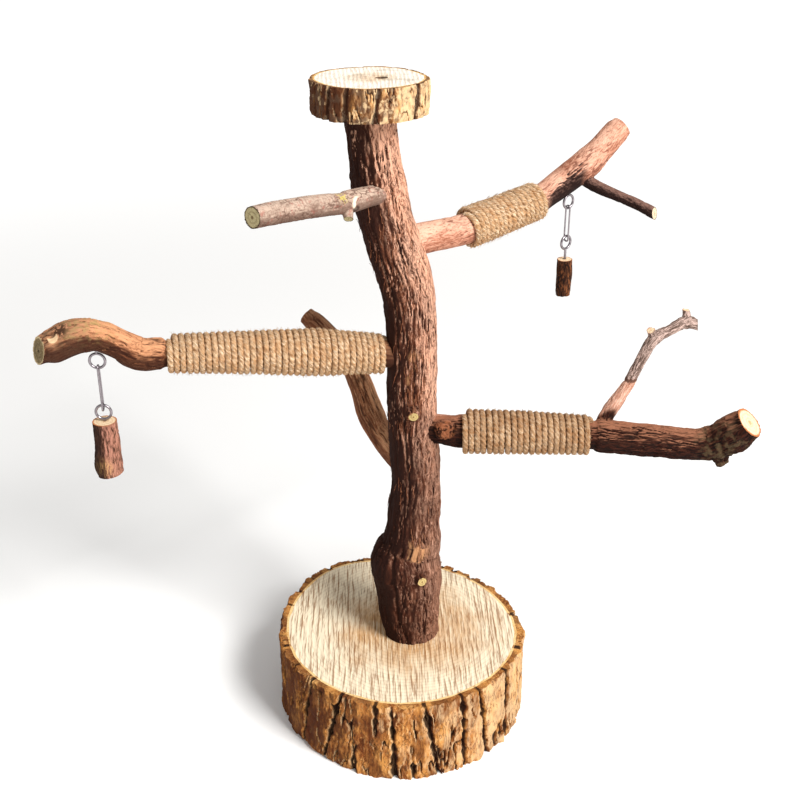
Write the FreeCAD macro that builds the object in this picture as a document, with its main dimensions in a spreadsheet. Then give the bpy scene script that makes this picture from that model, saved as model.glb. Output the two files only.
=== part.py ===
import FreeCAD, Part
import math
import os

# A parrot play stand of natural branches: a thick slice of log as the base, a bent trunk, a small
# slice as a look-out platform, five perches let into the trunk, jute rope wound round three of them,
# and two small logs that hang from wire links. Millimetres. X runs to the right and Y to the back
# as a keeper faces the stand, Z is up, and the origin is the centre of the base's underside.

Vector = FreeCAD.Vector
Placement = FreeCAD.Placement
Rotation = FreeCAD.Rotation
UP = Vector(0, 0, 1)

# ---------------------------------------------------------------- driving sizes
# Single sizes, each under its own name.
SIZES = {
    "base_thickness": 63,
    "platform_thickness": 20,
    "trunk_foot_offset": 8.6,        # the trunk stands a little to the right of the base's centre
    # screws up through the base
    "base_screw_circle": 24,
    "base_screw_head_width": 8,
    "base_screw_head_height": 3,
    "base_screw_shank_width": 4.5,
    "base_screw_reach": 30,          # how far it bites into the trunk
    "base_screw_counterbore_width": 9.5,
    "base_screw_grip": 29,           # wood left between the screw's head and the trunk
    # screw down through the platform
    "platform_screw_offset": 7,      # to the right of the trunk's axis
    "platform_screw_head_width": 7.5,
    "platform_screw_head_height": 2.5,
    "platform_screw_shank_width": 4,
    "platform_screw_reach": 26,
    "platform_recess_width": 8.5,
    "platform_recess_depth": 4,
    # sockets and the double-ended screws in them
    "socket_floor": 6,               # from the trunk's axis to the bottom of a socket
    "collar_stand": 1.2,             # bare tenon left between the bark and the branch
    "left_perch_tenon_width": 16,
    "lower_right_perch_tenon_width": 20.6,
    "upper_right_perch_tenon_width": 20.5,
    "back_perch_tenon_width": 19,
    "upper_left_perch_tenon_width": 12.6,
    "upper_left_perch_offset": 10,   # this socket is bored to the right of the trunk's axis
    "dowel_screw_width": 4,
    "dowel_screw_point": 4,
    "dowel_screw_trunk_bite": 12,
    "dowel_screw_perch_bite": 24,
    # rope
    "rope_clearance": 0.15,
    # turns drawn; the real windings hold 35, 21 and 16 turns of 4 mm rope
    "left_rope_turn_count": 24,
    "lower_right_rope_turn_count": 21,
    "upper_right_rope_turn_count": 15,
    "left_rope_width": 5.2,
    "lower_right_rope_width": 3.6,
    "upper_right_rope_width": 3.6,
    # knots: sawn-off side shoots
    "trunk_upper_knot_width": 7.5,
    "trunk_upper_knot_turn": 4,      # degrees to the right of straight ahead
    "trunk_lower_knot_width": 7,
    "trunk_lower_knot_turn": 24,
    "perch_knot_width": 11.5,
    "perch_knot_distance": 24,       # from the trunk's axis
    "perch_knot_lift": 25,           # degrees above level
    "knot_stand": 1.2,               # how far a knot's sawn face stands out of the bark
    "base_furrow_flare": 0.6,        # half a furrow's width for its depth
    "trunk_furrow_flare": 1,
    # wire work of the hanging toys
    "eye_wire": 1.8,
    "eye_shank_width": 1.6,
    "eye_bite": 9,
    "perch_eye_neck": 0.5,           # bare shank between an eye's ring and the wood it is in
    "link_wire": 1.2,
    "wire_clearance": 0.3,
    "left_eye_width": 11.6,
    "left_link_length": 28,
    "left_toy_eye_neck": 0.5,
    "left_eye_back": 5.5,            # from the named station back towards the trunk
    "left_toy_turn": 0,
    "right_eye_width": 11,
    "right_link_length": 22,
    "right_toy_eye_neck": 6.8,
    "right_eye_back": 4.2,
    "right_toy_turn": 40,
}

# How far the bark reaches from the middle of each slice, anticlockwise from +X in equal turns.
BASE_REACHES = (92, 90, 91, 95, 101, 95, 90, 88, 88, 90, 90, 91)
PLATFORM_REACHES = (36.3, 35.6, 36.8, 36.4, 35.4, 36.6, 36.2, 35.8, 36.4, 36.8, 35.8, 36.3)

# Main furrows of the base's bark, anticlockwise: turn in degrees at the underside and at the top,
# depth at the underside and at the top. A furrow of depth below zero runs out before that end.
BASE_FURROWS = (
    (-163, -166, 3.6, 3.8),
    (-144, -136, 4.2, 3),
    (-129, -118, 3.2, 3.6),
    (-112, -111, 4, -0.8),
    (-102, -101, -0.8, 4.2),
    (-92, -94, 4.4, 3.2),
    (-84, -86, 3.8, -0.8),
    (-72, -79, 3, 4.4),
    (-59, -61, 3.4, 3.8),
    (-46, -52, 3.6, 3.2),
    (-32, -33, 4.2, 3.4),
    (-17, -15, 3.4, 3.8),
    (0, 3, 4, -0.8),
    (14, 12, 3.2, 4),
    (31, 29, 3.8, 3),
    (47, 50, -0.8, 4),
    (63, 60, 4.2, 3.4),
    (80, 83, 3.4, 3.8),
    (97, 94, 4, 3),
    (113, 115, 3.2, -0.8),
    (128, 126, 3.8, 4),
    (146, 149, 4.2, 3.2),
    (163, 161, 3.4, 3.8),
    (179, 182, 4, -0.8),
)

# Main furrows of the trunk's bark: turn in degrees, the stations where it runs out, depth between.
TRUNK_FURROWS = (
    (-112, "foot", "taper", 1.7),
    (-109, "taper", "left_socket", 1.6),
    (-124, "belly", "shoulder", 1.5),
    (140, "lower_right_socket", "shoulder", 1.5),
    (-164, "shin", "waist", 1.6),
)

# Trunk stations from the foot up: name, rise and sideways shift from the station below, width.
TRUNK = (
    ("foot", 0, 0, 40.5),
    ("shin", 25, -2.3, 45),
    ("flare", 22.5, -0.5, 49.5),
    ("burl", 13, -1.4, 52),
    ("neck", 17, 4.3, 41.7),
    ("taper", 17, 0.9, 37.4),
    ("back_socket", 35.5, 1.8, 34.6),
    ("waist", 13, -0.7, 35.3),
    ("lower_right_socket", 26, -2.2, 34.2),
    ("belly", 26, -0.9, 34),
    ("left_socket", 27.8, 0.4, 33.2),
    ("chest", 38.2, -2.3, 34),
    ("elbow", 16, -2.9, 34.7),
    ("upper_right_socket", 21.5, -6.8, 35.4),
    ("shoulder", 18.5, -5.2, 34.6),
    ("twig_socket", 18, -3.7, 35),
    ("throat", 20, -2.6, 32),
    ("crown", 28, -2.8, 32.8),
)

# Branch stations outwards: name, steps along X, Y and Z from the station before, width.
# The first step starts on the trunk's axis at the perch's socket, or on the parent branch's axis.
LEFT_PERCH = (
    ("swell", -62.6, -12.5, 7.3, 21),
    ("rope_end", -94.2, -18.9, 7.2, 14.4),
    ("shoulder", -3, -0.6, 0.4, 21.4),
    ("bump", -12.7, -2.5, 1.0, 22),
    ("rise", -11.9, -2.4, 7.9, 19.6),
    ("hook", -10.2, -2.0, 5.6, 20),
    ("crest", -8.7, -1.7, 1.4, 22),
    ("fall", -9.0, -1.8, -1.2, 23),
    ("tip", -9.3, -2.4, -3.9, 22),
    ("end", -9.6, -3.4, -2.4, 17),
)
LOWER_RIGHT_PERCH = (
    ("rope_start", 32.5, -7, 0.3, 23.5),
    ("swell", 44, -1.3, -0.5, 22.4),
    ("rope_end", 45.4, -1.4, -1.2, 19.6),
    ("shoulder", 3, -0.1, -0.2, 22.4),
    ("middle", 38, -1.1, -3.2, 22.6),
    ("wrist", 29, -0.8, -2.6, 22),
    ("palm", 10.5, -1.3, 2, 24),
    ("knob", 11.5, -5, 10, 26),
    ("end", 8.5, -5, 10.5, 21.5),
)
LOWER_RIGHT_STUB = (
    ("root", 0, 0, 0, 17),
    ("end", 8, -3, -14.5, 9),
)
LOWER_RIGHT_TWIG = (
    ("root", 0, 0, 0, 11.5),
    ("low", 7.1, 8.8, 11.2, 9.4),
    ("middle", 13.8, 8, 18.6, 8),
    ("upper", 10.7, 8, 18.6, 8),
    ("kink", 6.8, 4, 10, 9),
    ("bend", 11, 5, 4, 7.2),
    ("fork", 12.8, 5, 4.4, 9.4),
    ("end", 7, -1, -1.6, 6.8),
)
LOWER_RIGHT_SPUR = (
    ("root", 0, 0, 0, 6),
    ("end", -1.2, 2, 8, 5),
)
LOWER_RIGHT_SNAG = (
    ("root", 0, 0, 0, 7),
    ("end", -2.6, 1, 6, 5.8),
)
UPPER_RIGHT_PERCH = (
    ("rope_start", 45.5, 25.4, 2.5, 20.5),
    ("swell", 25.1, 19.6, 3.2, 19.4),
    ("rope_end", 28.4, 20, 5.3, 18.6),
    ("shoulder", 2.5, 2.5, 1.2, 18.4),
    ("bow", 12.4, 6.5, 7.5, 19.4),
    ("fork", 9.7, 3, 6.8, 20.4),
    ("bend", 8.2, 3.6, 5.4, 21),
    ("rise", 10.5, 6, 8.8, 18.6),
    ("reach", 9.8, 5.6, 9.6, 18.2),
    ("end", 3.9, 2.2, 3, 16),
)
UPPER_RIGHT_FORK = (
    ("root", 0, 0, 0, 10.5),
    ("elbow", 10.6, -2, -7, 8.8),
    ("middle", 16, -6, -6.4, 7.6),
    ("reach", 14.6, -5, -5.1, 7.8),
    ("end", 12, -4.4, -5.4, 8.4),
)
BACK_PERCH = (
    ("rise", -24.8, 22, 21.4, 18),
    ("kink", -7.2, 11, 9.9, 20),
    ("middle", -7.9, 13, 19, 17.5),
    ("reach", -7.3, 10, 11.9, 16.5),
    ("bend", -11.3, 9, 12.2, 15),
    ("tip", -13.1, 7, 10.3, 15.4),
    ("end", -7.5, 4.5, 5.1, 11),
)
UPPER_LEFT_PERCH = (
    ("scar", -28.3, -33, 1.4, 14.2),
    ("lip", -3, -3.2, 0.1, 13),
    ("middle", -10, -10.3, 2, 13.4),
    ("reach", -26, -30, 4.6, 13.4),
    ("end", -11, -13.5, 1.3, 13),
)

# Toy logs down from the top face: name, steps along X, Y and Z, width.
LEFT_LOG = (
    ("top", 0, 0, 0, 16),
    ("middle", 0.1, 0, -18, 16.8),
    ("low", -1, 0, -14, 18.6),
    ("end", 0.2, 0, -6.2, 17),
)
RIGHT_LOG = (
    ("top", 0, 0, 0, 11),
    ("middle", 0.2, 0, -11.5, 11.6),
    ("low", -0.3, 0, -11.7, 11.2),
    ("end", 0.2, 0, -3.4, 10.6),
)

# ---------------------------------------------------------------- the sheet of sizes
doc = FreeCAD.newDocument("parrot_play_stand")
sheet = doc.addObject("Spreadsheet::Sheet", "Sizes")


def write_size(alias, value):
    """Put one size in the sheet, with its name beside it."""
    write_size.row += 1
    sheet.set("A%d" % write_size.row, alias)
    sheet.set("B%d" % write_size.row, str(value))
    sheet.setAlias("B%d" % write_size.row, alias)


write_size.row = 0


def write_branch(branch, stations):
    """Put a branch's steps and widths in the sheet."""
    for station, x_step, y_step, z_step, width in stations:
        write_size("%s_%s_x" % (branch, station), x_step)
        write_size("%s_%s_y" % (branch, station), y_step)
        write_size("%s_%s_z" % (branch, station), z_step)
        write_size("%s_%s_width" % (branch, station), width)


def size(alias):
    """Read one size back from the sheet."""
    return float(getattr(sheet, alias))


for alias, value in SIZES.items():
    write_size(alias, value)
for slice_name, reaches in (("base", BASE_REACHES), ("platform", PLATFORM_REACHES)):
    for index, reach in enumerate(reaches):
        write_size("%s_reach_%d" % (slice_name, index), reach)
for index, (foot_turn, top_turn, foot_depth, top_depth) in enumerate(BASE_FURROWS):
    write_size("base_furrow_%d_foot_turn" % index, foot_turn)
    write_size("base_furrow_%d_top_turn" % index, top_turn)
    write_size("base_furrow_%d_foot_depth" % index, foot_depth)
    write_size("base_furrow_%d_top_depth" % index, top_depth)
for index, (turn, first, last, depth) in enumerate(TRUNK_FURROWS):
    write_size("trunk_furrow_%d_turn" % index, turn)
    write_size("trunk_furrow_%d_depth" % index, depth)
for station, rise, shift, width in TRUNK:
    write_size("trunk_%s_rise" % station, rise)
    write_size("trunk_%s_shift" % station, shift)
    write_size("trunk_%s_width" % station, width)
BRANCHES = {
    "left_perch": LEFT_PERCH,
    "lower_right_perch": LOWER_RIGHT_PERCH,
    "lower_right_stub": LOWER_RIGHT_STUB,
    "lower_right_twig": LOWER_RIGHT_TWIG,
    "lower_right_spur": LOWER_RIGHT_SPUR,
    "lower_right_snag": LOWER_RIGHT_SNAG,
    "upper_right_perch": UPPER_RIGHT_PERCH,
    "upper_right_fork": UPPER_RIGHT_FORK,
    "back_perch": BACK_PERCH,
    "upper_left_perch": UPPER_LEFT_PERCH,
    "left_toy_log": LEFT_LOG,
    "right_toy_log": RIGHT_LOG,
}
for branch_name, stations in BRANCHES.items():
    write_branch(branch_name, stations)
doc.recompute()

# ---------------------------------------------------------------- building blocks
subparts = {}


def keep(name, obj, solids=1):
    """Name a finished sub-part; its label names its file."""
    obj.Label = name
    subparts[name] = (obj, solids)
    return obj


def aimed(point, direction):
    """A placement at a point whose own Z axis looks along a direction."""
    return Placement(point, Rotation(UP, direction))


def ring(name, place, width):
    """A round section of a branch, as wide as the named size."""
    circle = doc.addObject("Part::Circle", name)
    circle.setExpression("Radius", "Sizes.%s / 2" % width)
    circle.Placement = place
    return circle


def loft(name, rings):
    """Wood between its round sections."""
    body = doc.addObject("Part::Loft", name)
    body.Sections = rings
    body.Solid = True
    body.Ruled = True
    return body


def rod(name, place, width, length):
    """A round rod from its placement along its own Z; both sizes are expressions."""
    cylinder = doc.addObject("Part::Cylinder", name)
    cylinder.setExpression("Radius", "(%s) / 2" % width)
    cylinder.setExpression("Height", length)
    cylinder.Placement = place
    return cylinder


def fuse(name, pieces):
    """One solid from several."""
    joined = doc.addObject("Part::MultiFuse", name)
    joined.Shapes = pieces
    return joined


def cut(name, base, tools):
    """A solid with its holes made by the pieces that go in them."""
    tool = tools[0] if len(tools) == 1 else fuse(name + "_holes", tools)
    result = doc.addObject("Part::Cut", name)
    result.Base = base
    result.Tool = tool
    return result


def branch_points(name, start):
    """The stations of a branch, each a step on from the one before."""
    points = []
    here = start
    for station, *steps in BRANCHES[name]:
        alias = "%s_%s" % (name, station)
        here = here + Vector(size(alias + "_x"), size(alias + "_y"), size(alias + "_z"))
        points.append(here)
    return points


def unit(vector):
    """A vector's direction."""
    return vector / vector.Length


def middle_direction(before, here, after):
    """The direction of a branch where it passes a station."""
    return unit(unit(here - before) + unit(after - here))


def branch_loft(name, start, first=None):
    """A branch's wood and its stations' places. first is a ring ahead of the named stations."""
    points = branch_points(name, start)
    line = ([first.Placement.Base] if first else []) + points
    rings = [first] if first else []
    for index, (station, *steps) in enumerate(BRANCHES[name]):
        at = index + len(line) - len(points)
        before = line[max(at - 1, 0)]
        after = line[min(at + 1, len(line) - 1)]
        if at == 0 or at == len(line) - 1:
            direction = unit(after - before)
        else:
            direction = middle_direction(before, line[at], after)
        alias = "%s_%s" % (name, station)
        rings.append(ring(alias, aimed(line[at], direction), alias + "_width"))
    stations = dict(zip([row[0] for row in BRANCHES[name]], points))
    return loft(name + "_wood", rings), stations


def furrow(name, flare, sections):
    """A groove along the bark. Each section is a point of the bark, the way out of it and a depth."""
    clear = 3                           # how far the groove's body stands out of the bark
    wires = []
    for index, (point, out, depth) in enumerate(sections):
        side = UP.cross(out)
        half = (depth + clear) * size(flare)
        mouth = point + out * clear
        section = doc.addObject("Part::Feature", "%s_section_%d" % (name, index))
        section.Shape = Part.makePolygon(
            [point - out * depth, mouth + side * half, mouth - side * half, point - out * depth])
        wires.append(section)
    return loft(name, wires)


# ---------------------------------------------------------------- trunk stations
trunk_points = {}
trunk_rings = []
here = Vector(size("trunk_foot_offset"), 0, size("base_thickness"))
for station, *steps in TRUNK:
    alias = "trunk_%s" % station
    here = here + Vector(size(alias + "_shift"), 0, size(alias + "_rise"))
    trunk_points[station] = here
    trunk_rings.append(ring(alias, Placement(here, Rotation()), alias + "_width"))
trunk_wood = loft("trunk_wood", trunk_rings)
trunk_furrows = []
station_names = [row[0] for row in TRUNK]
for index, (turn, first, last, depth) in enumerate(TRUNK_FURROWS):
    turn = math.radians(size("trunk_furrow_%d_turn" % index))
    out = Vector(math.cos(turn), math.sin(turn), 0)
    sections = []
    for station in station_names[station_names.index(first):station_names.index(last) + 1]:
        bark = trunk_points[station] + out * (size("trunk_%s_width" % station) / 2)
        ends = station in (first, last)
        sections.append((bark, out, -0.6 if ends else size("trunk_furrow_%d_depth" % index)))
    trunk_furrows.append(furrow("trunk_furrow_%d" % index, "trunk_furrow_flare", sections))


# ---------------------------------------------------------------- slices of log
def log_slice(name, reaches, centre):
    """A slice sawn from a log, with the uneven outline of its bark."""
    outline = []
    for index in range(len(reaches)):
        turn = 2 * math.pi * index / len(reaches)
        reach = size("%s_reach_%d" % (name, index))
        outline.append(centre + Vector(reach * math.cos(turn), reach * math.sin(turn), 0))
    curve = Part.BSplineCurve()
    curve.interpolate(Points=outline, PeriodicFlag=True)
    face = Part.Face(Part.Wire([curve.toShape()]))
    blank = doc.addObject("Part::Feature", name + "_blank")
    blank.Shape = face.extrude(Vector(0, 0, size(name + "_thickness")))
    return blank, curve


base_blank, base_curve = log_slice("base", BASE_REACHES, Vector())
platform_blank, platform_curve = log_slice("platform", PLATFORM_REACHES, trunk_points["crown"])
base_furrows = []
for index in range(len(BASE_FURROWS)):
    sections = []
    for end, height in (("foot", -1), ("top", size("base_thickness") + 1)):
        turn = math.radians(size("base_furrow_%d_%s_turn" % (index, end)))
        out = Vector(math.cos(turn), math.sin(turn), 0)
        bark = base_curve.value(base_curve.parameter(out * size("base_reach_0")))
        sections.append((Vector(bark.x, bark.y, height), out,
                         size("base_furrow_%d_%s_depth" % (index, end))))
    base_furrows.append(furrow("base_furrow_%d" % index, "base_furrow_flare", sections))
screw_entry = trunk_points["crown"] + Vector(
    size("platform_screw_offset"), 0, size("platform_thickness"))

# ---------------------------------------------------------------- base and platform screws
foot = trunk_points["foot"]
base_screw_pieces = []
counterbores = []
for index in range(3):
    turn = math.radians(90 + 120 * index)
    out = Vector(math.cos(turn), math.sin(turn), 0) * (size("base_screw_circle") / 2)
    mouth = Vector(foot.x, foot.y, 0) + out
    head_top = size("base_thickness") - size("base_screw_grip")
    seat = mouth + Vector(0, 0, head_top - size("base_screw_head_height"))
    head = rod("base_screw_%d_head" % index, Placement(seat, Rotation()),
               "Sizes.base_screw_head_width", "Sizes.base_screw_head_height")
    shank = rod("base_screw_%d_shank" % index, Placement(seat, Rotation()),
                "Sizes.base_screw_shank_width",
                "Sizes.base_screw_head_height + Sizes.base_screw_grip + Sizes.base_screw_reach")
    base_screw_pieces.append(fuse("base_screw_%d" % index, [head, shank]))
    counterbores.append(rod("counterbore_%d" % index, Placement(mouth, Rotation()),
                            "Sizes.base_screw_counterbore_width",
                            "Sizes.base_thickness - Sizes.base_screw_grip"))
base_screws = doc.addObject("Part::Compound", "base_screws_group")
base_screws.Links = base_screw_pieces
keep("base_screws", base_screws, 3)
keep("base_slice", cut("base_wood", base_blank, counterbores + base_screw_pieces + base_furrows))

recess = rod("platform_recess", aimed(screw_entry, -UP),
             "Sizes.platform_recess_width", "Sizes.platform_recess_depth")
head_seat = screw_entry - Vector(0, 0, size("platform_recess_depth"))
platform_head = rod("platform_screw_head", Placement(head_seat, Rotation()),
                    "Sizes.platform_screw_head_width", "Sizes.platform_screw_head_height")
platform_shank = rod("platform_screw_shank", aimed(head_seat, -UP), "Sizes.platform_screw_shank_width",
                     "Sizes.platform_thickness - Sizes.platform_recess_depth"
                     " + Sizes.platform_screw_reach")
platform_screw = keep("platform_screw", fuse("platform_screw_body", [platform_head, platform_shank]))
keep("platform_slice", cut("platform_wood", platform_blank, [recess, platform_shank]))


# ---------------------------------------------------------------- perches
def dowel_screw(perch, floor_point, direction):
    """A headless screw, pointed at both ends, half in the trunk and half in the perch."""
    point = size("dowel_screw_point")
    trunk_end = floor_point - direction * size("dowel_screw_trunk_bite")
    start = trunk_end + direction * point
    shank = rod(perch + "_screw_shank", aimed(start, direction), "Sizes.dowel_screw_width",
                "Sizes.dowel_screw_trunk_bite + Sizes.dowel_screw_perch_bite"
                " - 2 * Sizes.dowel_screw_point")
    perch_end = floor_point + direction * (size("dowel_screw_perch_bite") - point)
    pieces = [shank]
    for index, place in enumerate((aimed(start, -direction), aimed(perch_end, direction))):
        cone = doc.addObject("Part::Cone", "%s_screw_point_%d" % (perch, index))
        cone.setExpression("Radius1", "Sizes.dowel_screw_width / 2")
        cone.Radius2 = 0
        cone.setExpression("Height", "Sizes.dowel_screw_point")
        cone.Placement = place
        pieces.append(cone)
    return keep(perch + "_screw", fuse(perch + "_screw_body", pieces))


def seat_in_trunk(perch, station, offset=0.0):
    """Where a perch enters the trunk: its socket's floor, its collar and its direction.

    The perch's axis starts beside the trunk's axis by the offset, along X.
    """
    anchor = trunk_points[station] + Vector(offset, 0, 0)
    direction = unit(branch_points(perch, anchor)[0] - anchor)
    level = math.hypot(direction.x, direction.y)
    nearest = -offset * direction.x / level
    aside = abs(offset * direction.y / level)
    inner_side = max(0, aside - size(perch + "_tenon_width") / 2)
    trunk_radius = size("trunk_%s_width" % station) / 2
    way_out = nearest + math.sqrt(trunk_radius ** 2 - inner_side ** 2)
    collar = anchor + direction * (way_out / level + size("collar_stand"))
    floor_point = anchor + direction * (nearest / level + size("socket_floor"))
    return anchor, floor_point, collar, direction


def build_perch(perch, station, offset=0.0):
    """A perch's wood with its tenon, and its screw."""
    anchor, floor_point, collar, direction = seat_in_trunk(perch, station, offset)
    tenon = rod(perch + "_tenon", aimed(floor_point, direction),
                "Sizes.%s_tenon_width" % perch, str((collar - floor_point).Length))
    collar_ring = ring(perch + "_collar", aimed(collar, direction), perch + "_tenon_width")
    wood, stations = branch_loft(perch, anchor, collar_ring)
    screw = dowel_screw(perch, floor_point, direction)
    stations["collar"] = collar
    return [tenon, wood], screw, stations


left_wood, left_screw, left = build_perch("left_perch", "left_socket")
lower_wood, lower_screw, lower = build_perch("lower_right_perch", "lower_right_socket")
upper_wood, upper_screw, upper = build_perch("upper_right_perch", "upper_right_socket")
back_wood, back_screw, back = build_perch("back_perch", "back_socket")
twig_wood, twig_screw, twig = build_perch(
    "upper_left_perch", "twig_socket", size("upper_left_perch_offset"))

# Side shoots grow out of their branch in one piece with it.
side_twig_wood, side_twig = branch_loft("lower_right_twig", lower["shoulder"])
lower_shoots = [
    side_twig_wood,
    branch_loft("lower_right_stub", lower["palm"])[0],
    branch_loft("lower_right_spur", side_twig["fork"])[0],
    branch_loft("lower_right_snag", side_twig["kink"])[0],
]
upper_shoots = [branch_loft("upper_right_fork", upper["fork"])[0]]

knot_lift = math.radians(size("perch_knot_lift"))
knot_direction = Vector(0, -math.cos(knot_lift), math.sin(knot_lift))
lower_axis = unit(lower["rope_start"] - trunk_points["lower_right_socket"])
knot_root = trunk_points["lower_right_socket"] + lower_axis * size("perch_knot_distance")
perch_knot = rod("perch_knot", aimed(knot_root, knot_direction), "Sizes.perch_knot_width",
                 "Sizes.lower_right_perch_rope_start_width / 2 + Sizes.knot_stand")

perch_blanks = {
    "left_perch": fuse("left_perch_blank", left_wood),
    "lower_right_perch": fuse("lower_right_perch_blank", lower_wood + lower_shoots + [perch_knot]),
    "upper_right_perch": fuse("upper_right_perch_blank", upper_wood + upper_shoots),
    "back_perch": fuse("back_perch_blank", back_wood),
    "upper_left_perch": fuse("upper_left_perch_blank", twig_wood),
}

# ---------------------------------------------------------------- trunk
trunk_knots = []
for knot, station in (("upper_knot", "belly"), ("lower_knot", "burl")):
    turn = math.radians(size("trunk_%s_turn" % knot))
    outwards = Vector(math.sin(turn), -math.cos(turn), 0)
    trunk_knots.append(rod("trunk_" + knot, aimed(trunk_points[station], outwards),
                           "Sizes.trunk_%s_width" % knot,
                           "Sizes.trunk_%s_width / 2 + Sizes.knot_stand" % station))
trunk_body = fuse("trunk_blank", [trunk_wood] + trunk_knots)
let_in = list(perch_blanks.values()) + base_screw_pieces + [
    left_screw, lower_screw, upper_screw, back_screw, twig_screw, platform_shank]
for index, piece in enumerate(let_in):
    trunk_body = cut("trunk_cut_%d" % index, trunk_body, [piece])
for index, piece in enumerate(trunk_furrows):
    trunk_body = cut("trunk_bark_%d" % index, trunk_body, [piece])
keep("trunk", trunk_body)


# ---------------------------------------------------------------- rope windings
def arc_from(start, tangent, end):
    """The arc that leaves start along a tangent and ends at a point."""
    chord = end - start
    inwards = unit(chord - tangent * chord.dot(tangent))
    radius = chord.dot(chord) / (2 * chord.dot(inwards))
    centre = start + inwards * radius
    crown = centre + unit((start + end) * 0.5 - centre) * radius
    return Part.Arc(start, crown, end).toShape()


def biarc(start, start_tangent, end, end_tangent):
    """Two arcs that join two points with given tangents."""
    chord = end - start
    both = start_tangent + end_tangent
    spread = 2 * (1 - start_tangent.dot(end_tangent))
    reach = (-chord.dot(both) + math.sqrt(chord.dot(both) ** 2 + spread * chord.dot(chord))) / spread
    first_corner = start + start_tangent * reach
    second_corner = end - end_tangent * reach
    joint = (first_corner + second_corner) * 0.5
    return [arc_from(start, start_tangent, joint),
            arc_from(joint, unit(second_corner - joint), end)]


def winding(perch, stops, widths):
    """Rope wound round a perch over its start, swell and end, one unbroken tube."""
    rope = size(perch + "_rope_width")
    turns = round(size(perch + "_rope_turn_count"))
    axis = unit(stops[2] - stops[0])
    across = unit(UP - axis * UP.dot(axis))
    side = axis.cross(across)
    lengths = [0, (stops[1] - stops[0]).dot(axis), (stops[2] - stops[0]).dot(axis)]
    lay = rope / 2 + size("rope_clearance")

    def at(turn):
        """The rope's middle after a number of turns."""
        along = lay + (lengths[2] - 2 * lay) * turn / turns
        first = 0 if along < lengths[1] else 1
        part = (along - lengths[first]) / (lengths[first + 1] - lengths[first])
        centre = stops[first] + (stops[first + 1] - stops[first]) * part
        radius = (widths[first] * (1 - part) + widths[first + 1] * part) / 2 + lay
        angle = 2 * math.pi * turn
        return centre + across * (radius * math.cos(angle)) + side * (radius * math.sin(angle))

    def tangent(turn):
        """The rope's direction after a number of turns."""
        return unit(at(turn + 0.001) - at(turn - 0.001))

    edges = [Part.LineSegment(at(0) - tangent(0) * rope, at(0)).toShape()]
    for half in range(2 * turns):
        here, there = half / 2, (half + 1) / 2
        edges += biarc(at(here), tangent(here), at(there), tangent(there))
    edges.append(Part.LineSegment(at(turns), at(turns) + tangent(turns) * rope).toShape())
    path = Part.Wire(edges)
    profile = Part.Wire([Part.Circle(at(0) - tangent(0) * rope, tangent(0), rope / 2).toShape()])
    body = doc.addObject("Part::Feature", perch + "_winding")
    body.Shape = path.makePipeShell([profile], True, False)
    steps = 24
    line = [at(step / steps) for step in range(steps * turns + 1)]
    gap = min((line[low] - line[high]).Length for low in range(len(line))
              for high in range(low + steps // 2, min(low + steps * 2, len(line)))) - rope
    print("%s rope: %d turns, path %.1f mm, least gap to itself %.2f mm, volume %.0f of %.0f mm3" % (
        perch, turns, path.Length, gap, body.Shape.Volume, path.Length * math.pi * rope ** 2 / 4))
    return keep(perch + "_perch_rope", body)


winding("left", [left["collar"], left["swell"], left["rope_end"]],
        [size("left_perch_tenon_width"), size("left_perch_swell_width"),
         size("left_perch_rope_end_width")])
for perch, stations in (("lower_right", lower), ("upper_right", upper)):
    winding(perch, [stations["rope_start"], stations["swell"], stations["rope_end"]],
            [size("%s_perch_%s_width" % (perch, stop)) for stop in ("rope_start", "swell", "rope_end")])


# ---------------------------------------------------------------- hanging toys
def torus(name, place, across, wire, sweep=360):
    """A bent wire; across is its width between wire centres."""
    body = doc.addObject("Part::Torus", name)
    body.setExpression("Radius1", "(%s) / 2" % across)
    body.setExpression("Radius2", "(%s) / 2" % wire)
    body.Angle3 = sweep
    body.Placement = place
    return body


def screw_eye(name, place, side, shank_foot, neck):
    """A screw eye whose ring lies in its own XZ plane, with its shank along -Z or +Z."""
    across = "Sizes.%s_eye_width - Sizes.eye_wire" % side
    loop = torus(name + "_ring", Placement(Vector(), Rotation(Vector(1, 0, 0), 90)),
                 across, "Sizes.eye_wire")
    shank = rod(name + "_shank", shank_foot, "Sizes.eye_shank_width",
                "Sizes.eye_wire / 2 + Sizes.%s + Sizes.eye_bite" % neck)
    body = fuse(name + "_body", [loop, shank])
    body.Placement = place
    return keep(name, body)


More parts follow.
